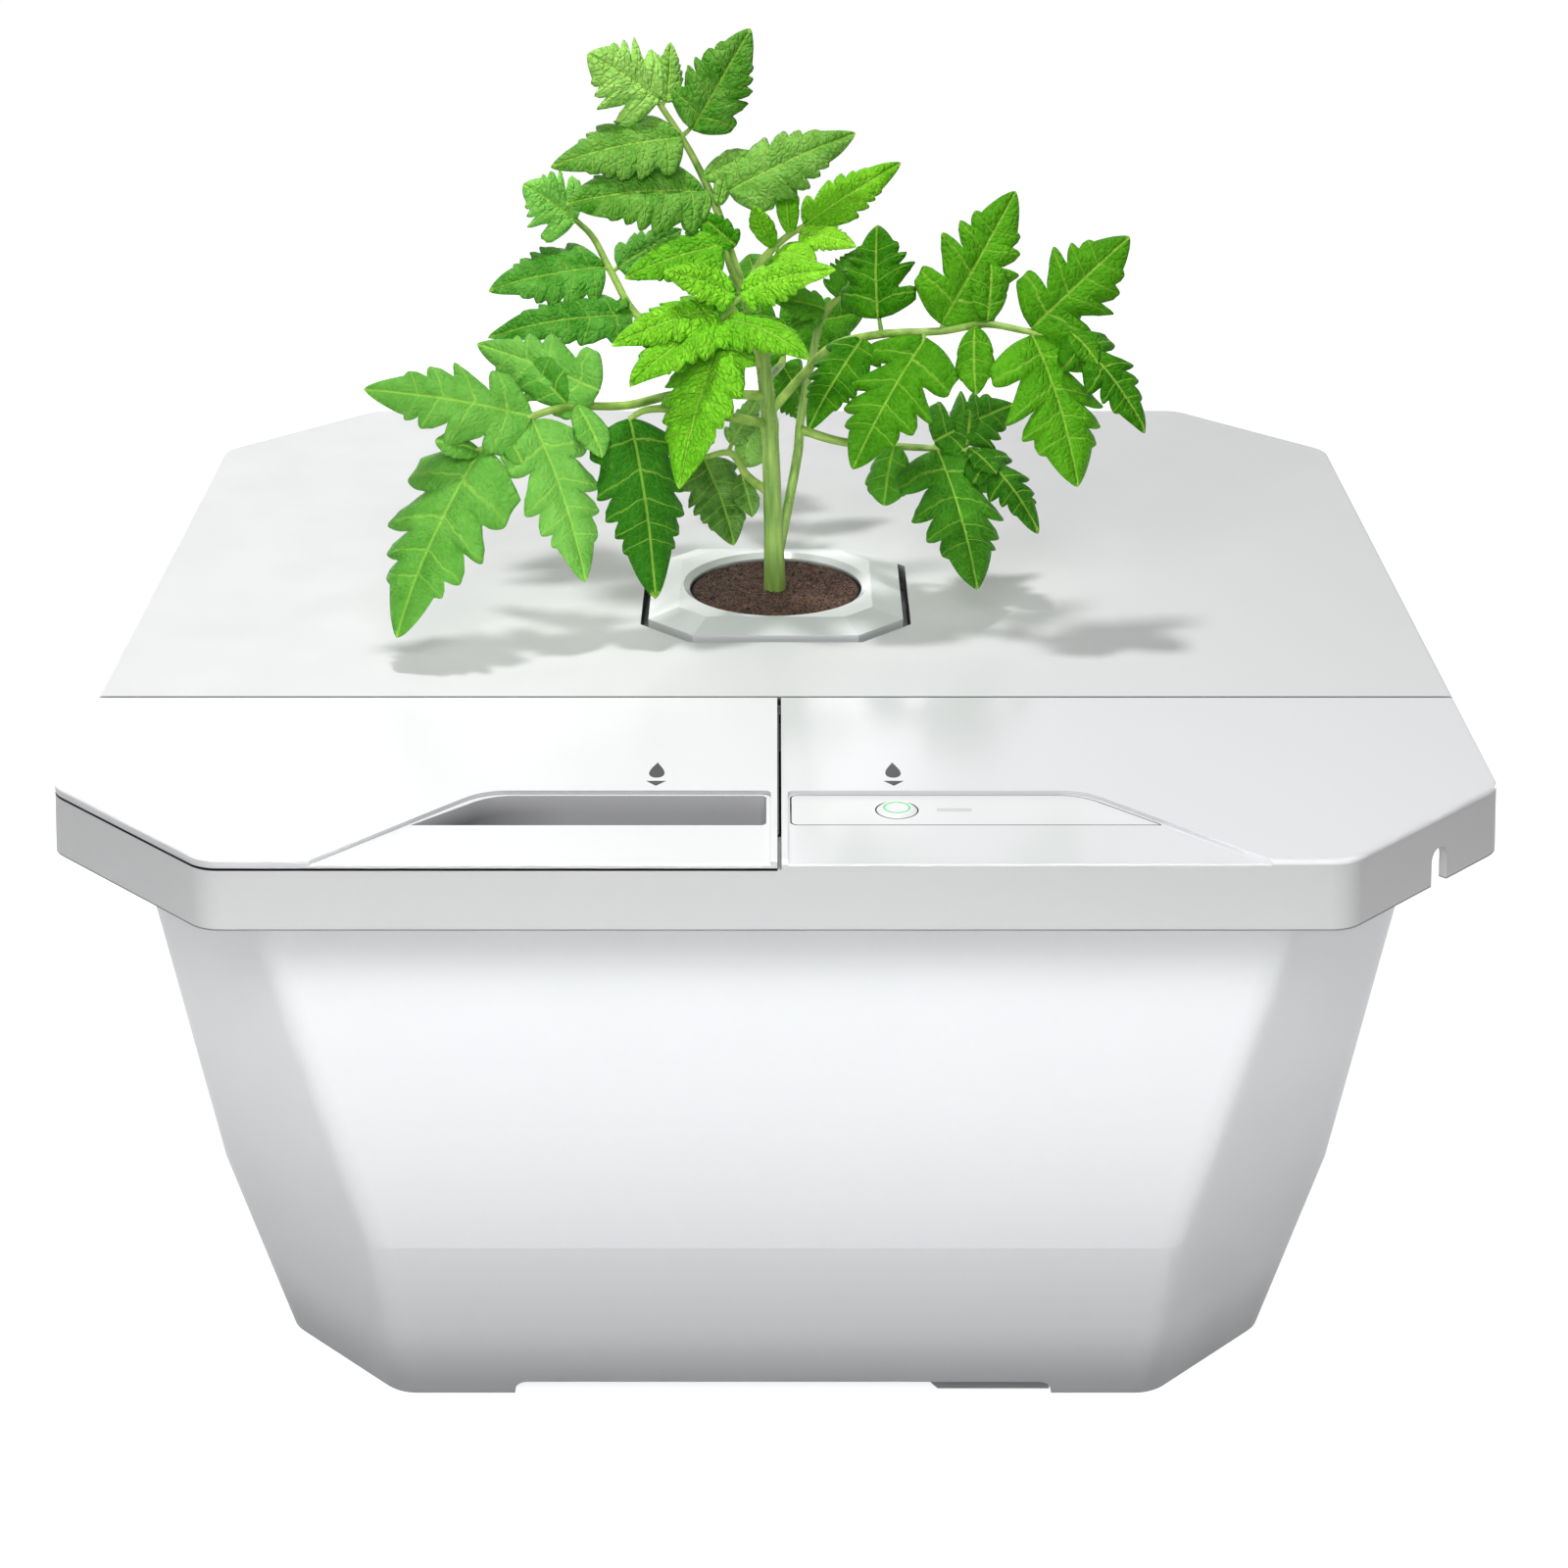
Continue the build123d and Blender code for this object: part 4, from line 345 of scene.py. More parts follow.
def stone():
    """Air stone: bonded blue grains."""
    s = Shader("air_stone")
    place = s.place()
    grains = s.add("TexVoronoi", {"Vector": place, "Scale": 900.0}).outputs["Distance"]
    s.set(Base_Color=s.mix(grains, srgb("5f7f94"), srgb("9fb6c4")))
    s.set(Roughness=s.map(grains, 0.0, 0.6, 0.75, 0.95))
    s.set(Normal=s.bump(grains, 0.6, 0.6 * MM))
    return s.material


def dress(names, material):
    """Gives the material to the nodes, whose names are set apart by spaces."""
    for name in names.split():
        data = NODES[name].data
        data.materials.clear()
        data.materials.append(material)


def dress_frame():
    dress("reservoir_tub", tub_plastic())
    dress("fill_cover", cover_plastic())
    dress("rim_frame", frame_plastic())
    # Nodes, then the plastic's name, colour, roughness, grain, mottling, coat and reach of the
    # painted gap shade (mm).
    for names, label, code, *looks in (
        ("main_lid", "lid_plastic", "dfdfe0", 0.44, 0.10, 0.012, 0.0, 5.0),
        ("basket_collar", "collar_plastic", "eff1f3", 0.30, 0.02, 0.01, 0.2, 2.0),
        ("control_fascia", "fascia_plastic", "ebebec", 0.22, 0.02, 0.006, 0.0, 3.0),
        ("drain_button", "button_plastic", "f0f1f2", 0.25, 0.02, 0.006, 0.0, 3.0),
        ("led_window", "led_diffuser", "d5d5d6", 0.22, 0.02, 0.02),
        ("sump_cover", "sump_plastic", "8c8d8f", 0.55),
        ("control_housing drain_spout spout_nut level_sensor sensor_nut float_clip",
         "inner_plastic", "dfe0e1", 0.45),
        ("level_float", "float_foam", "f0efe8", 0.7, 0.4, 0.05),
        ("net_cup", "cup_plastic", "242526", 0.42, 0.08, 0.1),
        ("pump_housing pump_cover air_pump", "pump_plastic", "2b2c2f", 0.4, 0.08, 0.1),
        ("drain_switch board_parts", "chip_plastic", "1d1d1f", 0.5, 0.1, 0.1),
        ("pump_impeller", "impeller_plastic", "3a66a4", 0.3, 0.03, 0.04),
    ):
        dress(names, plastic(label, srgb(code), *looks))
    dress("rim_gasket foot_pads tube_grommet lead_gland pump_feet",
          rubber("dark_rubber", srgb("3b3c3e")))
    dress("cover_pads switch_dome drain_hose air_tube", rubber("silicone", srgb("d6dadc")))
    dress("frame_screws board_screws housing_screws pump_shaft",
          metal("steel", srgb("c4c6c8"), 0.32))
    dress("button_light_ring", glowing_ring())
    dress("control_board", board_lacquer())
    dress("air_stone", stone())


# ---- Plant: places ------------------------------------------------------------------------------
# Millimetres from the middle of the lid's top, as in the CAD model.
STEM_POINTS = [(0, 0, 2), (-1, 0, 32), (-2, -1, 55), (-4, -2, 72), (-7, -1, 84), (-9, 2, 92)]
SIDE_STEM_POINTS = [(0, 1, 8), (6, 8, 38), (7, 12, 48), (10, 14, 65), (13, 15, 79)]
LEAF_FACING = (0.30, -0.70, 0.65)      # for a leaflet that points to the right
LOBED, TOOTHED, OVAL = "lobed", "toothed", "oval"

# Each leaf: its stalk, then its leaflets as (base, tip, width, edge).
LEAVES = {
    "leaf_top": (
        [(-9, 2, 89), (-13, 6, 100), (-16, 10, 109), (-21, 13, 120), (-26, 14, 129),
         (-32, 15, 138)],
        [((-32, 15, 139), (-51, 12, 152), 24, LOBED), ((-30, 16, 138), (-29, 23, 153), 9, TOOTHED),
         ((-23, 14, 131), (-7, 22, 157), 20, TOOTHED), ((-26, 13, 129), (-61, 0, 124), 22, TOOTHED),
         ((-20, 11, 114), (-57, -6, 115), 27, TOOTHED), ((-13, 9, 115), (22, 18, 129), 20, TOOTHED),
         ((-20, 12, 118), (-6, 16, 124), 8, OVAL), ((-16, 9, 111), (-14, 13, 119), 5, OVAL),
         ((-19, 11, 114), (-25, 2, 106), 8, OVAL)],
    ),
    "leaf_top_right": (
        [(-8, 1, 89), (-4, 6, 96), (2, 11, 101), (8, 15, 104)],
        [((8, 15, 104), (35, 26, 119), 14, TOOTHED), ((7, 13, 102), (22, 4, 101), 11, TOOTHED),
         ((4, 13, 102), (3, 16, 119), 7, OVAL), ((-1, 9, 100), (-6, 2, 113), 7, OVAL),
         ((1, 8, 98), (11, -2, 98), 12, TOOTHED)],
    ),
    "leaf_left_upper": (
        [(-5, -1, 74), (-25, 14, 72), (-39, 22, 76), (-47, 30, 87), (-52, 33, 96), (-57, 34, 101)],
        [((-57, 34, 101), (-71, 30, 112), 21, LOBED), ((-49, 30, 88), (-81, 20, 84), 22, TOOTHED),
         ((-41, 22, 76), (-81, 10, 73), 18, TOOTHED), ((-45, 30, 88), (-27, 38, 97), 13, TOOTHED),
         ((-43, 26, 80), (-45, 20, 78), 5, OVAL)],
    ),
    "leaf_left_lower": (
        [(-3, -2, 60), (-25, -10, 63), (-41, -18, 62), (-56, -26, 64), (-66, -32, 63),
         (-74, -36, 58), (-79, -38, 56)],
        [((-66, -32, 63), (-110, -40, 73), 25, LOBED), ((-79, -38, 56), (-102, -60, 10), 34, LOBED),
         ((-66, -32, 62), (-52, -44, 20), 25, LOBED), ((-48, -24, 68), (-82, -10, 77), 22, LOBED),
         ((-57, -26, 65), (-70, -14, 75), 13, OVAL), ((-54, -26, 64), (-47, -36, 53), 10, OVAL),
         ((-75, -36, 58), (-80, -34, 64), 5, OVAL), ((-80, -38, 55), (-91, -44, 60), 8, OVAL),
         ((-73, -36, 59), (-68, -42, 53), 7, OVAL)],
    ),
    "leaf_left_front": (
        [(-3, -2, 52), (-25, -16, 60), (-35, -22, 62), (-40, -24, 60)],
        [((-40, -24, 60), (-33, -44, 15), 26, TOOTHED)],
    ),
    "leaf_centre": (
        [(-4, -2, 68), (-8, -8, 79), (-12, -10, 88)],
        [((-9, -12, 92), (16, -26, 102), 15, TOOTHED),
         ((-13, -14, 85), (9, -36, 80), 17, TOOTHED),
         ((-16, -14, 84), (-39, -38, 73), 19, TOOTHED),
         ((-14, -14, 82), (-26, -42, 46), 24, TOOTHED),
         ((-12, -10, 91), (-30, -20, 100), 14, TOOTHED),
         ((-16, -12, 87), (-44, -30, 82), 16, TOOTHED)],
    ),
    "leaf_centre_back": (
        [(-8, 0, 87), (-12, 0, 95), (-14, 0, 101)],
        [((-15, 0, 102), (-41, -12, 96), 18, TOOTHED), ((-11, 0, 102), (-23, 8, 110), 9, TOOTHED)],
    ),
    "leaf_behind": (
        [(-2, 0, 31), (-8, 8, 33), (-13, 14, 38), (-21, 16, 36)],
        [((-21, 16, 36), (-12, 6, 13), 20, TOOTHED), ((-10, 14, 35), (-2, 24, 43), 12, OVAL),
         ((-10, 10, 33), (-7, 4, 22), 8, OVAL), ((-13, 16, 40), (-4, 26, 53), 8, TOOTHED)],
    ),
    "leaf_back": (
        [(-3, 0, 64), (0, 16, 62), (2, 34, 60), (1, 50, 64), (-3, 66, 68)],
        [((2, 34, 58), (8, 40, 40), 16, TOOTHED), ((2, 50, 64), (26, 62, 66), 20, TOOTHED),
         ((0, 52, 64), (-28, 62, 63), 20, TOOTHED), ((-3, 66, 68), (-8, 88, 77), 24, LOBED),
         ((2, 34, 61), (-15, 50, 62), 14, TOOTHED)],
    ),
    "leaf_side": (
        [(13, 15, 78), (15, 14, 81), (18, 14, 84)],
        [((14, 15, 80), (-2, 12, 84), 11, TOOTHED), ((18, 14, 83), (25, 15, 98), 14, TOOTHED),
         ((13, 15, 78), (4, 10, 76), 7, OVAL)],
    ),
    "leaf_right": (
        [(-2, 0, 54), (8, -4, 67), (16, -8, 76), (29, -14, 81), (45, -18, 83), (57, -22, 86),
         (69, -26, 85), (79, -28, 85)],
        [((28, -12, 85), (28, 3, 107), 22, LOBED), ((24, -12, 79), (9, -28, 58), 18, TOOTHED),
         ((41, -18, 81), (21, -38, 50), 29, LOBED), ((45, -18, 85), (65, -4, 118), 25, LOBED),
         ((57, -22, 87), (58, -14, 102), 11, OVAL), ((54, -22, 85), (54, -34, 70), 11, OVAL),
         ((69, -26, 86), (95, -18, 109), 25, LOBED), ((69, -26, 84), (81, -46, 48), 31, LOBED),
         ((79, -28, 85), (86, -36, 79), 8, OVAL), ((78, -27, 86), (79, -22, 94), 9, OVAL),
         ((79, -28, 85), (99, -42, 62), 18, LOBED)],
    ),
    "leaf_right_low": (
        [(7, 11, 46), (19, 9, 43), (34, 8, 42), (45, 6, 42), (57, 4, 42)],
        [((46, 6, 41), (56, -28, 12), 29, LOBED), ((34, 8, 42), (31, 0, 27), 14, OVAL),
         ((45, 6, 44), (68, 16, 52), 21, LOBED), ((57, 4, 42), (74, -12, 23), 16, LOBED),
         ((54, 5, 43), (55, 10, 52), 8, OVAL), ((55, 4, 42), (62, -6, 38), 8, OVAL)],
    ),
}

# Darker and lighter green of each leaf, how strongly its skin is puckered, and where each of its
# leaflets stands between the two greens. The lighter greens and the tones are partly the leaves'
# own
# colour and partly painted light: light shining through the leaflets, their sheen, and how brightly
# each leaflet is lit.
LEAF_LOOKS = {
    "leaf_top": ("2e8900", "c0ff7c", 1.0, (1.0, 0.6, 0.0, 0.2, 0.1, 0.3, 0.5, 0.4, 0.2)),
    "leaf_top_right": ("3ca505", "abfe3c", 0.9, (0.35, 1.0, 0.4, 0.4, 0.85)),
    "leaf_left_upper": ("238107", "a3f870", 0.9, (0.9, 0.1, 0.05, 0.3, 0.0)),
    "leaf_left_lower": ("308512", "8fda61", 0.35,
                        (0.5, 0.35, 0.8, 0.6, 0.05, 0.6, 0.3, 0.2, 0.4)),
    "leaf_left_front": ("165600", "439825", 0.5, (0.4,)),
    "leaf_centre": ("3fa500", "a5ff3c", 1.2, (1.0, 0.45, 0.5, 0.45, 0.8, 0.65)),
    "leaf_centre_back": ("258500", "8deb34", 1.2, (0.6, 0.0)),
    "leaf_behind": ("1d5800", "bcfc85", 0.5, (0.0, 1.0, 0.1, 0.4)),
    "leaf_back": ("257405", "67bc2b", 0.7, (0.4, 0.6, 0.3, 0.7, 0.5)),
    "leaf_side": ("257407", "74c938", 0.6, (0.7, 0.2, 0.5)),
    "leaf_right": ("1f6b00", "69c01f", 0.6,
                   (0.0, 0.0, 0.35, 0.7, 0.5, 0.5, 0.5, 0.75, 0.3, 0.6, 0.0)),
    "leaf_right_low": ("165800", "5caf2e", 0.6, (0.35, 0.8, 0.25, 0.0, 0.3, 0.05)),
}


# ---- Plant: meshes ------------------------------------------------------------------------------
POINT_VALUES = ("along", "across", "ribs", "tone")
OFF_AXIS = Vector((0.31, 0.17, 0.93))  # no tube runs along it
# Tubes, in millimetres: radius at the start, and how far it falls to the end.
LEAF_STALK, LEAFLET_STALK = (1.4, 0.6), (0.75, 0.3)
SIDE_STEM, HAIR, ROOT = (1.5, 0.5), (0.07, 0.055), (0.65, 0.45)
LEAFLET_STALK_REACH = 2.5


class Patch:
    """Collects vertices, faces and named values per vertex, to make one mesh."""

    def __init__(self):
        self.points, self.faces, self.kinds, self.values = [], [], [], {}

    def grid(self, rows, values, kind=0, around=False):
        """Joins rows of points with quads; around makes each row a ring and caps both ends."""
        first = len(self.points)
        count = len(rows[0])
        for row in rows:
            self.points.extend(row)
        for name in POINT_VALUES:
            self.values.setdefault(name, []).extend(values[name])
        last = count if around else count - 1
        for i in range(len(rows) - 1):
            for j in range(last):
                a = first + i * count + j
                b = first + i * count + (j + 1) % count
                self.faces.append((a, b, b + count, a + count))
        if around:
            end = len(self.points)
            self.faces.append(tuple(reversed(range(first, first + count))))
            self.faces.append(tuple(range(end - count, end)))
        self.kinds.extend([kind] * (len(self.faces) - len(self.kinds)))

    def make(self, name, materials):
        mesh = bpy.data.meshes.new(name)
        mesh.from_pydata([tuple(p) for p in self.points], [], self.faces)
        for label, numbers in self.values.items():
            layer = mesh.attributes.new(label, "FLOAT", "POINT")
            layer.data.foreach_set("value", numbers)
        for material in materials:
            mesh.materials.append(material)
        mesh.polygons.foreach_set("material_index", self.kinds)
        mesh.polygons.foreach_set("use_smooth", [True] * len(mesh.polygons))
        return add_object(name, mesh)


def smooth_path(points, per_run):
    """Points along a smooth curve through the given ones (Catmull-Rom)."""
    padded = [points[0] * 2 - points[1], *points, points[-1] * 2 - points[-2]]
    path = []
    for i in range(1, len(padded) - 2):
        p0, p1, p2, p3 = padded[i - 1:i + 3]
        for step in range(per_run):
            t = step / per_run
            path.append(0.5 * ((2 * p1) + (p2 - p0) * t
                               + (2 * p0 - 5 * p1 + 4 * p2 - p3) * t * t
                               + (3 * p1 - p0 - 3 * p2 + p3) * t ** 3))
    return path + [points[-1]]


def tube(patch, path, radius_at, kind=0, sides=10):
    """Round tube along a path; radius_at gives the radius at a share of the length."""
    rows = []
    across = OFF_AXIS.cross(path[1] - path[0]).normalized()
    for i, point in enumerate(path):
        ahead = (path[min(i + 1, len(path) - 1)] - path[max(i - 1, 0)]).normalized()
        across = (across - ahead * across.dot(ahead)).normalized()
        up = ahead.cross(across)
        radius = radius_at(i / (len(path) - 1))
        angles = [2 * math.pi * j / sides for j in range(sides)]
        rows.append([point + (across * math.cos(a) + up * math.sin(a)) * radius for a in angles])
    count = len(rows) * sides
    length = (path[-1] - path[0]).length
    along = [length * i / (len(rows) - 1) for i in range(len(rows)) for _ in range(sides)]
    values = {"along": along, "across": [0.0] * count, "ribs": [0.5] * count, "tone": [0.5] * count}
    patch.grid(rows, values, kind, around=True)


def taper(start, drop):
    """Radius that falls from start by drop, both in millimetres, over the length of a tube."""
    return lambda t: (start - drop * t) * MM


def any_direction(rng):
    return Vector((rng.gauss(0, 1), rng.gauss(0, 1), rng.gauss(0, 1)))


# Notches along each side of a leaflet: share of its length, depth as a share of its half width.
NOTCHES = {
    LOBED: ((0.0, 0.0), (0.23, 0.58), (0.43, 0.50), (0.60, 0.36), (0.73, 0.18), (1.2, 0.0)),
    TOOTHED: ((0.0, 0.0), (0.17, 0.32), (0.33, 0.32), (0.47, 0.28), (0.60, 0.22), (0.71, 0.13),
              (1.1, 0.0)),
    OVAL: ((0.0, 0.0), (0.30, 0.12), (0.56, 0.11), (0.76, 0.08), (1.1, 0.0)),
}
LOBE_PEAK = 0.70             # where a lobe's tip and its rib lie between two notches
NOTCH_SHIFT = 0.03
TOOTH_DEPTH = 0.05           # share of the half width
TEETH_PER_LOBE = 2.5
BASE_SHARE = 0.10            # share of the length in which a leaflet gets its full width
WIDEST_SHARE = 0.36          # from here on it narrows to the tip
ROW_STEP, COLUMN_STEP = 0.5 * MM, 0.85 * MM
RIB_SWEEP = 0.60
PUFF_HEIGHT = 0.9 * MM       # between two side ribs, where the skin is fully puckered
WAVE_HEIGHT, WAVE_SCALE = 1.1 * MM, 90
BLADE_THICKNESS = 0.35 * MM


def uneven_notches(rng, edge):
    return [(share + rng.uniform(-NOTCH_SHIFT, NOTCH_SHIFT) * (0 < share < 1),
             depth * rng.uniform(0.7, 1.2)) for share, depth in NOTCHES[edge]]


def lobe_at(notches, share):
    """Number of the lobe at a share of the length, and how far along that lobe the share is."""
    index = max(i for i in range(len(notches) - 1) if i == 0 or notches[i][0] <= share)
    start, end = notches[index][0], notches[index + 1][0]
    return index, max(0.0, (share - start) / (end - start))


def half_width(share, edge, notches):
    """Half width of a leaflet at a share of its length, as a share of its greatest half width."""
    index, part = lobe_at(notches, share)
    if part < LOBE_PEAK:
        cut = notches[index][1] * (1 - (part / LOBE_PEAK) ** 0.6)
    else:
        drop = (part - LOBE_PEAK) / (1 - LOBE_PEAK)
        cut = notches[index + 1][1] * (1 - (1 - drop * drop) ** 0.5)
    if edge == OVAL:
        return math.sin(math.pi * min(1.0, share) ** 0.8) ** 0.75 * (1 - cut)
    teeth = TOOTH_DEPTH * abs(math.sin(math.pi * part * TEETH_PER_LOBE)) * (1 - share)
    narrowing = (1 - max(0.0, share - WIDEST_SHARE) / (1 - WIDEST_SHARE)) ** 0.78
    return min(1.0, share / BASE_SHARE) ** 0.6 * narrowing * (1 - cut - teeth)


def leaflet(patch, rng, base, tip, width, edge, pucker, tone):
    """One leaflet: two halves folded up along the midrib, their edges curled down, with side ribs
    that sweep forward into the lobes."""
    start, end = from_lid(*base), from_lid(*tip)
    along = end - start
    length = along.length
    axis = along.normalized()
    side = 1 if tip[0] > base[0] else -1
    facing = Vector((side * LEAF_FACING[0], LEAF_FACING[1], LEAF_FACING[2]))
    normal = (facing - axis * facing.dot(axis)).normalized()
    across = axis.cross(normal)
    half = width * MM / 2
    row_count = max(20, int(length / ROW_STEP))
    side_count = max(5, int(half / COLUMN_STEP))
    sides = {1: uneven_notches(rng, edge), -1: uneven_notches(rng, edge)}
    arch = length * rng.uniform(0.05, 0.09)
    fold, curl = rng.uniform(0.30, 0.42), rng.uniform(0.42, 0.60)
    seed = Vector((rng.uniform(0, 50), rng.uniform(0, 50), rng.uniform(0, 50)))
    rows, values = [], {name: [] for name in POINT_VALUES}
    for i in range(row_count + 1):
        share = i / row_count
        row = []
        for j in range(-side_count, side_count + 1):
            out = j / side_count
            away = abs(out)
            notches = sides[1 if out > 0 else -1]
            wide = max(half_width(share, edge, notches), 0.03) if i < row_count else 0.0002
            reach = half * wide
            sweep = RIB_SWEEP * away * reach * min(1.0, share / 0.28) * (1 - share * 0.6)
            lift = arch * 4 * share * (1 - share) + reach * (fold * away - curl * away ** 2.4)
            rib = sum(lobe_at(notches, share)) - LOBE_PEAK + 0.5
            puff = abs(math.sin(math.pi * (rib - 0.5))) ** 0.6
            lift += pucker * PUFF_HEIGHT * puff * math.sin(math.pi * away) * (1 - 0.6 * share)
            spot = seed + Vector((share * length, out * reach, 0)) * WAVE_SCALE
            lift += WAVE_HEIGHT * noise.noise(spot) * (0.3 + away)
            forward = axis * (share * length + sweep)
            row.append(start + forward + across * (out * reach) + normal * lift)
            here = (share * length / MM, out * reach / MM, rib, tone)
            for name, value in zip(POINT_VALUES, here, strict=True):
                values[name].append(value)
        rows.append(row)
    patch.grid(rows, values)


def nearest_on(path, place):
    return min(path, key=lambda point: (point - place).length)


def leaf_material(name, dark, light, pucker):
    """Leaf skin: two greens, the lighter partly painted light, pale midrib and side ribs, a fine
    net of veins and puckered cells.
    """
    s = Shader(name)
    along, across = s.attribute("along"), s.attribute("across")
    ribs, tone = s.attribute("ribs"), s.attribute("tone")
    away = s.math("ABSOLUTE", across)
    apart = s.math("MULTIPLY", tone, 9.0)
    flat = s.add("CombineXYZ", {"X": along, "Y": across, "Z": apart}).outputs["Vector"]
    wander = s.noise(flat, 0.35, 2.0)
    bent = s.math("ADD", ribs, s.math("MULTIPLY", s.math("SUBTRACT", wander, 0.5), 0.20))
    from_rib = s.math("ABSOLUTE", s.math("SUBTRACT", s.math("FRACT", bent), 0.5))
    side_rib = s.map(from_rib, 0.0, 0.06, 1.0, 0.0, smooth=True)
    side_rib = s.math("MULTIPLY", side_rib, s.map(away, 0.0, 15.0, 1.0, 0.35))
    midrib = s.map(away, 0.20, 0.62, 1.0, 0.0, smooth=True)
    drift = s.add("TexNoise", {"Vector": flat, "Scale": 0.5}).outputs["Color"]
    bends = s.add("VectorMath", {0: flat, 1: drift}, operation="ADD").outputs["Vector"]
    cells = s.add("TexVoronoi", {"Vector": bends, "Scale": 0.60}, feature="DISTANCE_TO_EDGE")
    inside = cells.outputs["Distance"]
    net = s.map(inside, 0.0, 0.07, 1.0, 0.0, smooth=True)
    veins = s.math("MAXIMUM", midrib, s.math("MAXIMUM", side_rib, s.math("MULTIPLY", net, 0.20)))
    blotch = s.map(s.noise(flat, 0.14, 3.0, 0.6), NOISE_LOW, NOISE_HIGH)
    shade = s.math("ADD", s.math("MULTIPLY", blotch, 0.35), s.math("MULTIPLY", tone, 0.65))
    # Partly painted light: the lighter green and each leaflet's tone also stand for light through
    # the leaf and how brightly it is lit.
    skin = s.mix(shade, srgb(dark), srgb(light))
    pale = s.mix(0.55, skin, srgb("c4f362"))
    s.set(Base_Color=s.mix(s.math("MULTIPLY", veins, 0.75), skin, pale))
    s.set(Roughness=s.uneven(flat, 1.2, 0.42, 0.56))
    puffs = s.map(inside, 0.0, 0.32, 0.0, 1.0, smooth=True)
    dents = s.math("SUBTRACT", puffs, s.math("MULTIPLY", veins, 0.9))
    s.set(Normal=s.bump(dents, min(1.0, 0.30 + pucker * 0.45), 0.6 * MM))
    s.set(Specular_IOR_Level=0.06)
    return s.material


def underside_material():
    """Back of a leaf: paler and duller, with a pale midrib."""
    s = Shader("leaf_underside")
    along, across, tone = (s.attribute(name) for name in ("along", "across", "tone"))
    flat = s.add("CombineXYZ", {"X": along, "Y": across, "Z": tone}).outputs["Vector"]
    ribs = s.map(s.math("ABSOLUTE", across), 0.2, 0.7, 1.0, 0.0, smooth=True)
    skin = s.mix(s.noise(flat, 0.3, 3.0), srgb("639e45"), srgb("8fc46c"))
    s.set(Base_Color=s.mix(s.math("MULTIPLY", ribs, 0.6), skin, srgb("c5e69d")))
    s.set(Roughness=s.uneven(flat, 1.5, 0.55, 0.7))
    return s.material


def stalk_material(name, dark, light, grain=(700.0, 700.0, 60.0)):
    """Stem skin: streaked green with paler ridges and specks."""
    s = Shader(name)
    place = s.place()
    streak = s.add("Mapping", {"Vector": place, "Scale": grain}).outputs["Vector"]
    lines = s.noise(streak, 1.0, 3.0)
    patches = s.noise(place, 60.0, 2.0)
    shade = s.math("ADD", s.math("MULTIPLY", lines, 0.55), s.math("MULTIPLY", patches, 0.45))
    s.set(Base_Color=s.mix(s.map(shade, 0.35, 0.65), srgb(dark), srgb(light)))
    s.set(Roughness=s.map(patches, NOISE_LOW, NOISE_HIGH, 0.45, 0.6))
    s.set(Normal=s.bump(lines, 0.35, 0.4 * MM))
    return s.material


def make_leaves(underside, stalk_skin):
    """Each leaf: its leaflets' blades, and its stalk with a short stalk to each leaflet."""
    for name, (stalk, leaflets) in LEAVES.items():
        rng = random.Random(name)
        dark, light, pucker, tones_and_light = LEAF_LOOKS[name]
        patch = Patch()
        path = smooth_path([from_lid(*point) for point in stalk], 10)
        for (base, tip, width, edge), tone in zip(leaflets, tones_and_light, strict=True):
            leaflet(patch, rng, base, tip, width, edge, pucker, tone)
        skin = leaf_material(name + "_skin", dark, light, pucker)
        blade = patch.make(name + "_blades", [skin, underside])
        shell = blade.modifiers.new("thickness", "SOLIDIFY")
        shell.thickness = BLADE_THICKNESS
        shell.offset = 0.0
        shell.material_offset = 1
        stems = Patch()
        tube(stems, path, taper(*LEAF_STALK))
        for base, tip, width, edge in leaflets:
            foot = from_lid(*base)
            ahead = (from_lid(*tip) - foot).normalized()
            start = nearest_on(path, foot)
            end = foot + ahead * LEAFLET_STALK_REACH * MM
            run = smooth_path([start, (start + end) / 2 - ahead * 0.3 * MM, end], 5)
            tube(stems, run, taper(*LEAFLET_STALK), sides=8)
        stalks = stems.make(name + "_stalks", [stalk_skin])
        for piece in (blade, stalks):
            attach(piece, "basket")
            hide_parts(name)


# ---- Stem, soil and roots -----------------------------------------------------------------------
HAIR_COUNT = 420
CRUMB_COUNT = 700
ROOT_COUNT = 34
STEM_DEPTH = 9 * MM          # how far the stem goes into the soil
SOIL_RIM = (23.3 * MM, 23.9 * MM)
SOIL_CREST = 0.5 * MM        # space for the rough surface, below the plug's top
SOIL_BUMPS = ((900, 0.28), (300, 0.35))      # scale, and height in mm
ROOT_POINTS = 6


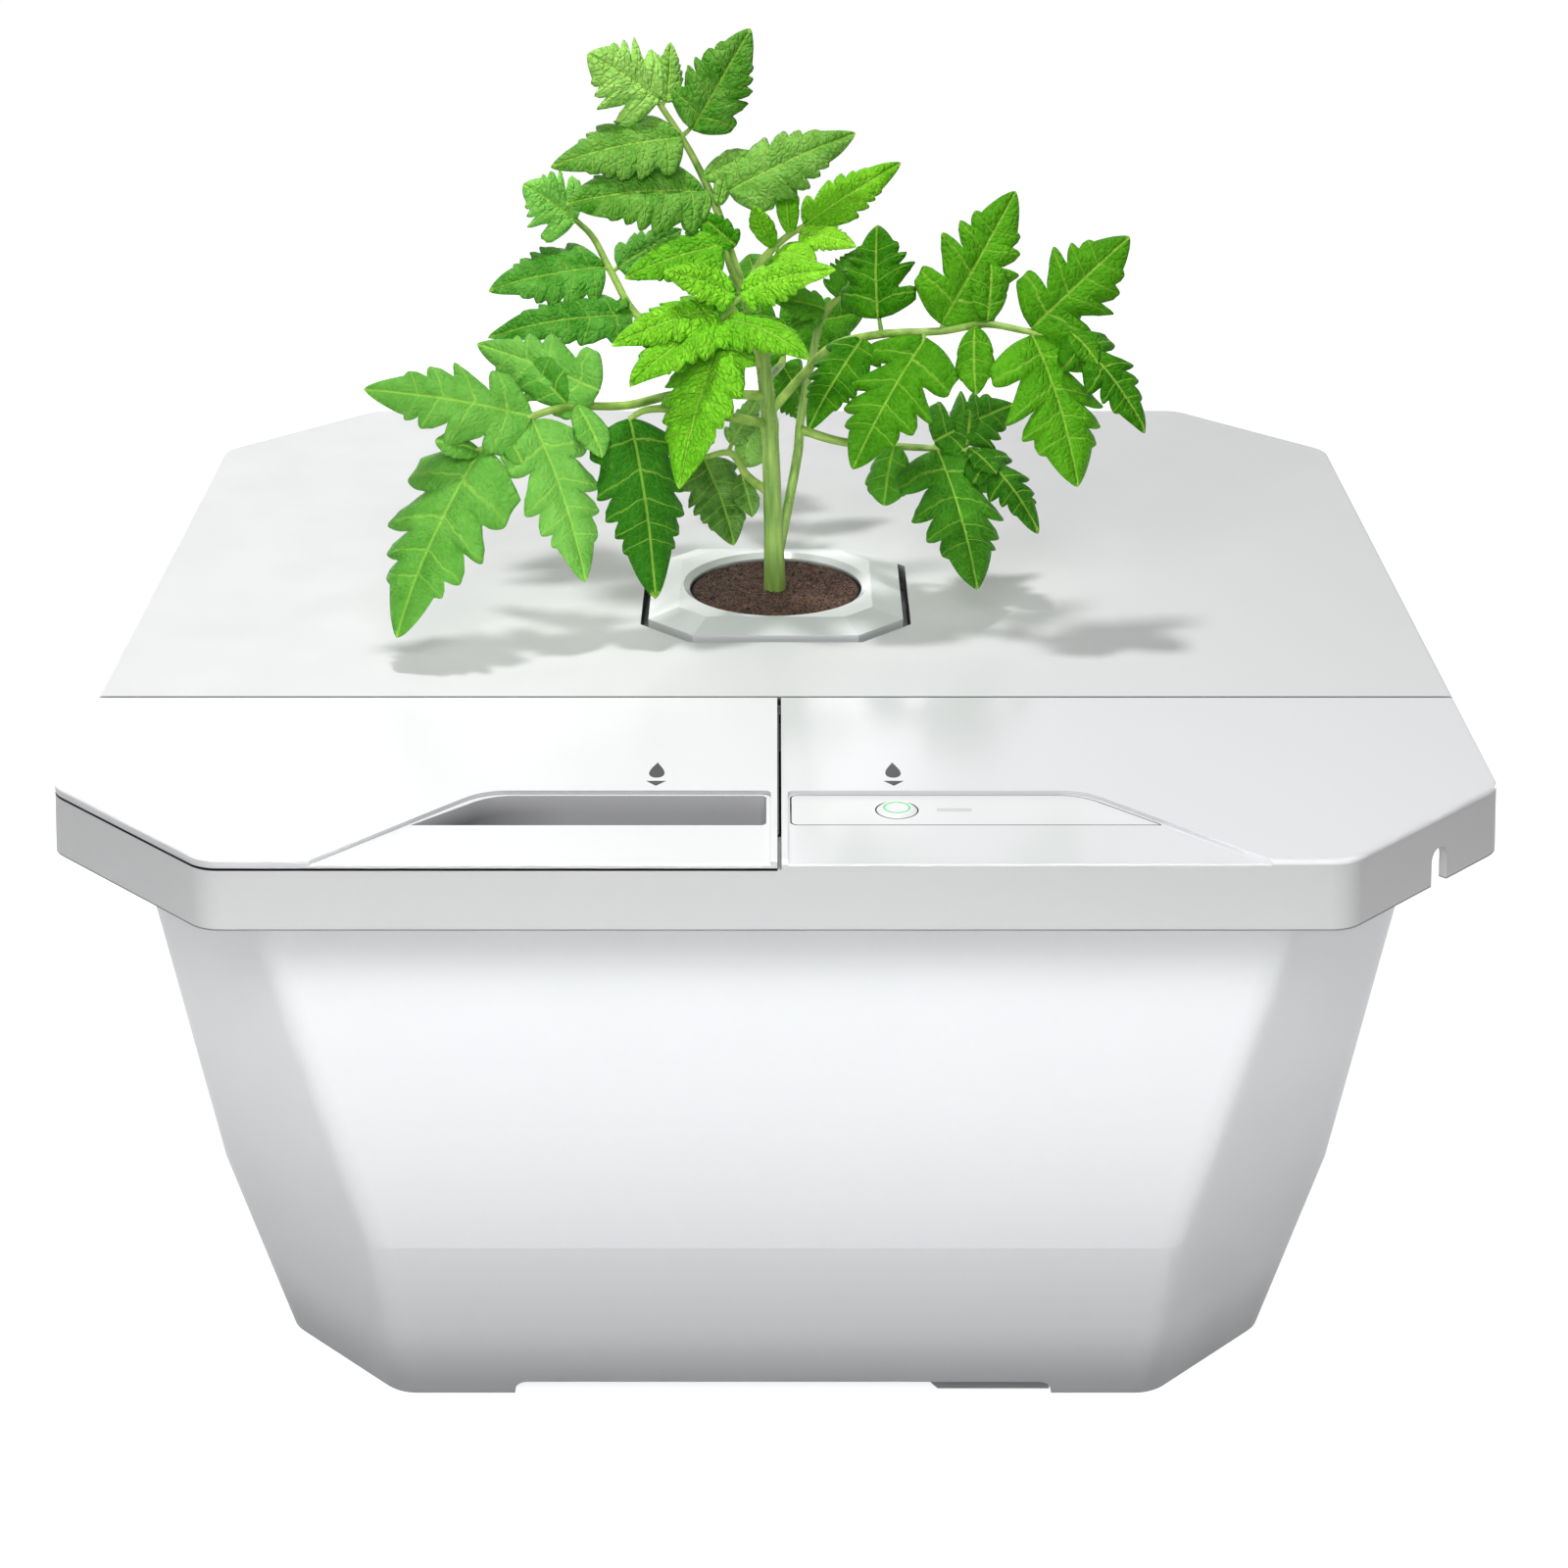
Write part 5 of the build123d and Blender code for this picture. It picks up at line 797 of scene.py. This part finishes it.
def make_stem(skin, hair_skin):
    """Main stem with swollen joints, side stem, and hairs on both."""
    rng = random.Random(7)
    patch = Patch()
    points = [from_lid(*point) for point in STEM_POINTS]
    points[0] = Vector((0, 0, SOIL_TOP - STEM_DEPTH))
    path = smooth_path(points, 14)

    def radius(t):
        swellings = ((0.36, 0.02, 0.35), (0.60, 0.02, 0.4), (0.0, 0.10, 0.5))
        swell = sum(rise * math.exp(-((t - at) / spread) ** 2) for at, spread, rise in swellings)
        return (2.85 - 1.35 * t + swell) * MM

    tube(patch, path, radius, sides=20)
    side = smooth_path([from_lid(*point) for point in SIDE_STEM_POINTS], 12)
    side_radius = taper(*SIDE_STEM)
    tube(patch, side, side_radius, sides=14)
    for _ in range(HAIR_COUNT):
        on_side = rng.random() < 0.3
        line = side if on_side else path
        t = rng.uniform(0.12, 0.98)
        index = min(int(t * (len(line) - 1)), len(line) - 2)
        ahead = (line[index + 1] - line[index]).normalized()
        out = any_direction(rng)
        out = (out - ahead * out.dot(ahead)).normalized()
        skin_radius = side_radius(t) if on_side else radius(t)
        foot = line[index] + out * (skin_radius - 0.1 * MM)
        end = foot + (out + ahead * rng.uniform(-0.2, 0.4)) * rng.uniform(0.5, 1.1) * MM
        tube(patch, [foot, (foot + end) / 2, end], taper(*HAIR), kind=1, sides=4)
    stem = patch.make("stem_and_hairs", [skin, hair_skin])
    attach(stem, "basket")
    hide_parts("plant_stem")


def soil_material():
    """Fine dark grains with brown ones among them, darker at the soil's rim."""
    s = Shader("soil")
    place = s.place()
    grains = s.noise(place, 2300.0, 2.0, 0.6)
    clumps = s.noise(place, 420.0, 3.0, 0.7)
    tone = s.math("ADD", s.math("MULTIPLY", grains, 0.75), s.math("MULTIPLY", clumps, 0.35))
    ramp = s.add("ValToRGB", {"Fac": tone})
    dark, light = ramp.color_ramp.elements
    dark.position, light.position = 0.44, 0.68
    dark.color, light.color = srgb("160b08"), srgb("936c5b")
    ramp.color_ramp.elements.new(0.53).color = srgb("40281d")
    level = s.add("VectorMath", {0: place, 1: (1.0, 1.0, 0.0)}, operation="MULTIPLY")
    outward = s.add("VectorMath", {0: level.outputs["Vector"]}, operation="LENGTH")
    rim = s.map(outward.outputs["Value"], *SOIL_RIM, smooth=True)
    s.set(Base_Color=s.mix(rim, ramp.outputs["Color"], srgb("140d0a")))
    s.set(Roughness=s.map(clumps, NOISE_LOW, NOISE_HIGH, 0.8, 0.95))
    s.set(Normal=s.bump(tone, 0.7, 0.6 * MM))
    return s.material


def make_soil(material):
    """Soil plug: a rough surface with loose crumbs on it, above a cone that fills the cup."""
    rng = random.Random(21)
    low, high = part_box("grow_plug")
    radius = (high.x - low.x) / 2
    surface = high.z - SOIL_CREST

    def rough_at(x, y):
        return sum(noise.noise(Vector((x, y, 0)) * scale) * rise for scale, rise in SOIL_BUMPS)

    patch = Patch()
    count, rings = 96, 42
    rows = []
    for i in range(rings + 1):
        reach = radius * i / rings if i else radius * 0.004
        edge = 1 - min(1.0, (radius - reach) / (1.2 * MM))
        row = []
        for j in range(count):
            angle = 2 * math.pi * j / count
            x, y = reach * math.cos(angle), -reach * math.sin(angle)
            row.append(Vector((x, y, surface + (rough_at(x, y) * (1 - edge) - 0.9 * edge) * MM)))
        rows.append(row)
    for share, height in ((0.995, high.z - 12 * MM), (0.70, low.z)):
        rows.append([Vector((p.x * share, p.y * share, height)) for p in rows[rings]])
    blank = [0.0] * len(rows) * count
    patch.grid(rows, dict.fromkeys(POINT_VALUES, blank), around=True)
    for _ in range(CRUMB_COUNT):
        angle, reach = rng.uniform(0, 2 * math.pi), radius * math.sqrt(rng.random()) * 0.94
        size = rng.uniform(0.2, 0.6) * MM
        x, y = reach * math.cos(angle), reach * math.sin(angle)
        spot = Vector((x, y, surface + rough_at(x, y) * MM + size * 0.15))
        lean = any_direction(rng).normalized() * size
        tube(patch, [spot - lean * 0.5, spot - lean * 0.2, spot + lean * 0.25, spot + lean * 0.5],
             lambda t: size * (0.28 + 0.4 * math.sin(math.pi * t)), sides=6)
    soil = patch.make("soil_and_crumbs", [material])
    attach(soil, "basket")
    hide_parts("grow_plug")


def make_roots():
    """Fine wavy roots below the cup, in the space of the CAD strands."""
    rng = random.Random(5)
    low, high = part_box("roots")
    patch = Patch()
    for _ in range(ROOT_COUNT):
        angle, near = rng.uniform(0, 2 * math.pi), rng.uniform(0.0, 8.0) * MM
        start = Vector((near * math.cos(angle), near * math.sin(angle), high.z + 0.5 * MM))
        length = (high.z - low.z) * rng.uniform(0.45, 0.98)
        swing = rng.uniform(0, 2 * math.pi)
        points = []
        for i in range(ROOT_POINTS):
            t = i / (ROOT_POINTS - 1)
            spread = near + t * rng.uniform(2.0, 6.0) * MM
            turn = angle + 0.5 * math.sin(swing + 2.2 * t)
            depth = start.z - t * length
            points.append(Vector((spread * math.cos(turn), spread * math.sin(turn), depth)))
        points[0] = start
        tube(patch, smooth_path(points, 6), taper(*ROOT), sides=6)
    roots = patch.make("root_strands", [stalk_material("root_skin", "cdbf9b", "efe7cf")])
    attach(roots, "basket")
    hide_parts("roots")


# ---- Printed marks ------------------------------------------------------------------------------
MARK_THICKNESS = 0.04 * MM
# Millimetres from the middle of the lid's top.
ARROW_TIP, ARROW_BACK, ARROW_REACH = -136.4, -133.4, 2.5
DROP_MIDDLE, DROP_WIDTH, DROP_LENGTH = -126.6, 4.4, 9.6
DROP_POINTS = 28


def print_mark(name, outline, height, body, material):
    """Thin printed mark on a flat face, from its outline in metres."""
    count = len(outline)
    points = [(x, y, height) for x, y in outline]
    points += [(x, y, height + MARK_THICKNESS) for x, y in outline]
    faces = [tuple(reversed(range(count))), tuple(range(count, 2 * count))]
    faces += [(i, (i + 1) % count, (i + 1) % count + count, i + count) for i in range(count)]
    mesh = bpy.data.meshes.new(name)
    mesh.from_pydata(points, [], faces)
    mesh.materials.append(material)
    mark = add_object(name, mesh)
    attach(mark, body)


def drop_outline(x, y, width, length):
    """Water drop with its point to the back."""
    outline = []
    for i in range(DROP_POINTS):
        angle = 2 * math.pi * i / DROP_POINTS
        out = 0.62 * width * math.sin(angle) * abs(math.sin(angle / 2)) ** 1.4
        outline.append((x + out, y + length * 0.5 * math.cos(angle)))
    return list(reversed(outline))


def make_marks():
    """At the filling and the draining side: an arrow to the front, with a drop behind it."""
    ink = plastic("mark_ink", srgb("3a3a3c"), 0.5, 0.05, 0.1)
    for name, x, body, slot in (("fill", -29.8, "cover", "cover_white"),
                                ("drain", 29.4, "root", "frame_grey")):
        corners = ((x, ARROW_TIP), (x + ARROW_REACH, ARROW_BACK), (x - ARROW_REACH, ARROW_BACK))
        arrow = [(across * MM, along * MM) for across, along in corners]
        print_mark(name + "_arrow", arrow, LID_TOP, body, ink)
        drop = drop_outline(x * MM, DROP_MIDDLE * MM, DROP_WIDTH * MM, DROP_LENGTH * MM)
        print_mark(name + "_drop", drop, LID_TOP, body, ink)


# ---- Room ---------------------------------------------------------------------------------------
WORLD_TINT = (0.97, 0.985, 1.0, 1)
WORLD_LEVEL = 0.16
FLOOR_HALF = 4.0             # m
FLOOR_BOUNCE = 0.08
FLOOR_GLOW = 0.89
# Lamp powers, in watts.
KEY_POWER = 2.3
STRIP_POWER = 0.20
SIDE_POWER = 0.16
OVERHEAD_POWER = 4.8
CARD_POWER = 4.7
STRIP_SIZE = (0.60, 0.06)
STRIP_SPREAD = 22            # degrees, narrow enough to light the tub and not the plant
CARD_TILT = -28.7            # slant of the card's edge, which the glossy deck shows


def area_light(name, place, target, size, power, spread=180.0):
    """Rectangular lamp that faces its target."""
    data = bpy.data.lights.new(name, "AREA")
    data.shape = "RECTANGLE"
    data.size, data.size_y = size
    data.energy = power
    data.spread = math.radians(spread)
    lamp = add_object(name, data)
    lamp.location = place
    lamp.rotation_euler = (Vector(target) - Vector(place)).to_track_quat("-Z", "Y").to_euler()
    return lamp


def make_world():
    """Dim soft room; white where the camera, a reflection or clear plastic shows it."""
    world = bpy.data.worlds.new("world")
    bpy.context.scene.world = world
    world.use_nodes = True
    tree = world.node_tree
    tree.nodes.clear()
    fill = tree.nodes.new("ShaderNodeBackground")
    fill.inputs["Color"].default_value = WORLD_TINT
    fill.inputs["Strength"].default_value = WORLD_LEVEL
    white = tree.nodes.new("ShaderNodeBackground")
    white.inputs["Color"].default_value = WHITE
    mix = tree.nodes.new("ShaderNodeMixShader")
    out = tree.nodes.new("ShaderNodeOutputWorld")
    tree.links.new(backdrop_rays(tree), mix.inputs["Fac"])
    tree.links.new(fill.outputs[0], mix.inputs[1])
    tree.links.new(white.outputs[0], mix.inputs[2])
    tree.links.new(mix.outputs[0], out.inputs["Surface"])


def backdrop_rays(tree):
    """1 for camera, glossy and transmission rays, 0 for the light that the room gives."""
    path = tree.nodes.new("ShaderNodeLightPath")
    socket = path.outputs["Is Camera Ray"]
    for name in ("Is Glossy Ray", "Is Transmission Ray"):
        either = tree.nodes.new("ShaderNodeMath")
        either.operation = "MAXIMUM"
        tree.links.new(socket, either.inputs[0])
        tree.links.new(path.outputs[name], either.inputs[1])
        socket = either.outputs[0]
    return socket


def make_floor():
    """White paper: bright in view, with a pale shadow, and grey for the light it throws back."""
    mesh = bpy.data.meshes.new("floor")
    corners = [(x * FLOOR_HALF, y * FLOOR_HALF, 0) for x, y in ((-1, -1), (1, -1), (1, 1), (-1, 1))]
    mesh.from_pydata(corners, [], [(0, 1, 2, 3)])
    s = Shader("floor_paper")
    tint = s.noise(s.place(), 3.0)
    s.set(Base_Color=s.mix(tint, (0.60, 0.60, 0.60, 1), (0.62, 0.62, 0.62, 1)))
    s.set(Roughness=1.0, Specular_IOR_Level=0.0)
    s.set(Emission_Color=WHITE, Emission_Strength=FLOOR_GLOW)
    grey = s.add("BsdfDiffuse", {"Color": scaled(WHITE, FLOOR_BOUNCE)}).outputs[0]
    paper = s.surface.outputs[0]
    mix = s.add("MixShader", {0: backdrop_rays(s.tree), 1: grey, 2: paper})
    s.tree.links.new(mix.outputs[0], s.tree.nodes["Material Output"].inputs["Surface"])
    mesh.materials.append(s.material)
    floor = add_object("floor", mesh)


def make_lights():
    """Each lamp: its place, its target, its size and its power."""
    area_light("front_key", (-0.07, -0.60, 0.60), (0, -0.10, 0.14), (0.40, 0.16), KEY_POWER)
    area_light("front_strip", (-0.05, -1.0, 0.12), (-0.04, 0, 0.12), STRIP_SIZE, STRIP_POWER,
               STRIP_SPREAD)
    for name, side in (("left_strip", -1), ("right_strip", 1)):
        place, target = (0.78 * side, 0.70, 0.10), (0.08 * side, 0.04, 0.09)
        area_light(name, place, target, STRIP_SIZE, SIDE_POWER, STRIP_SPREAD)
    area_light("overhead", (-0.10, 0.0, 1.15), (0, 0, 0.2), (0.09, 0.09), OVERHEAD_POWER)
    card = area_light("back_card", (-0.542, 1.0, 0.459), (-0.542, 0, 0.40), (1.3, 0.8), CARD_POWER)
    card.rotation_euler.rotate_axis("Z", math.radians(CARD_TILT))


# ---- Scene --------------------------------------------------------------------------------------
make_camera()
make_world()
make_floor()
make_lights()
dress_frame()
make_leaves(underside_material(),
            stalk_material("stalk_skin", "669327", "c0e26f", (200.0, 200.0, 200.0)))
make_stem(stalk_material("stem_skin", "5b892d", "aed269"), plastic("hair", srgb("dceeb3"), 0.5))
make_soil(soil_material())
make_roots()
make_marks()

view = bpy.context.scene.view_settings
view.view_transform = "Standard"
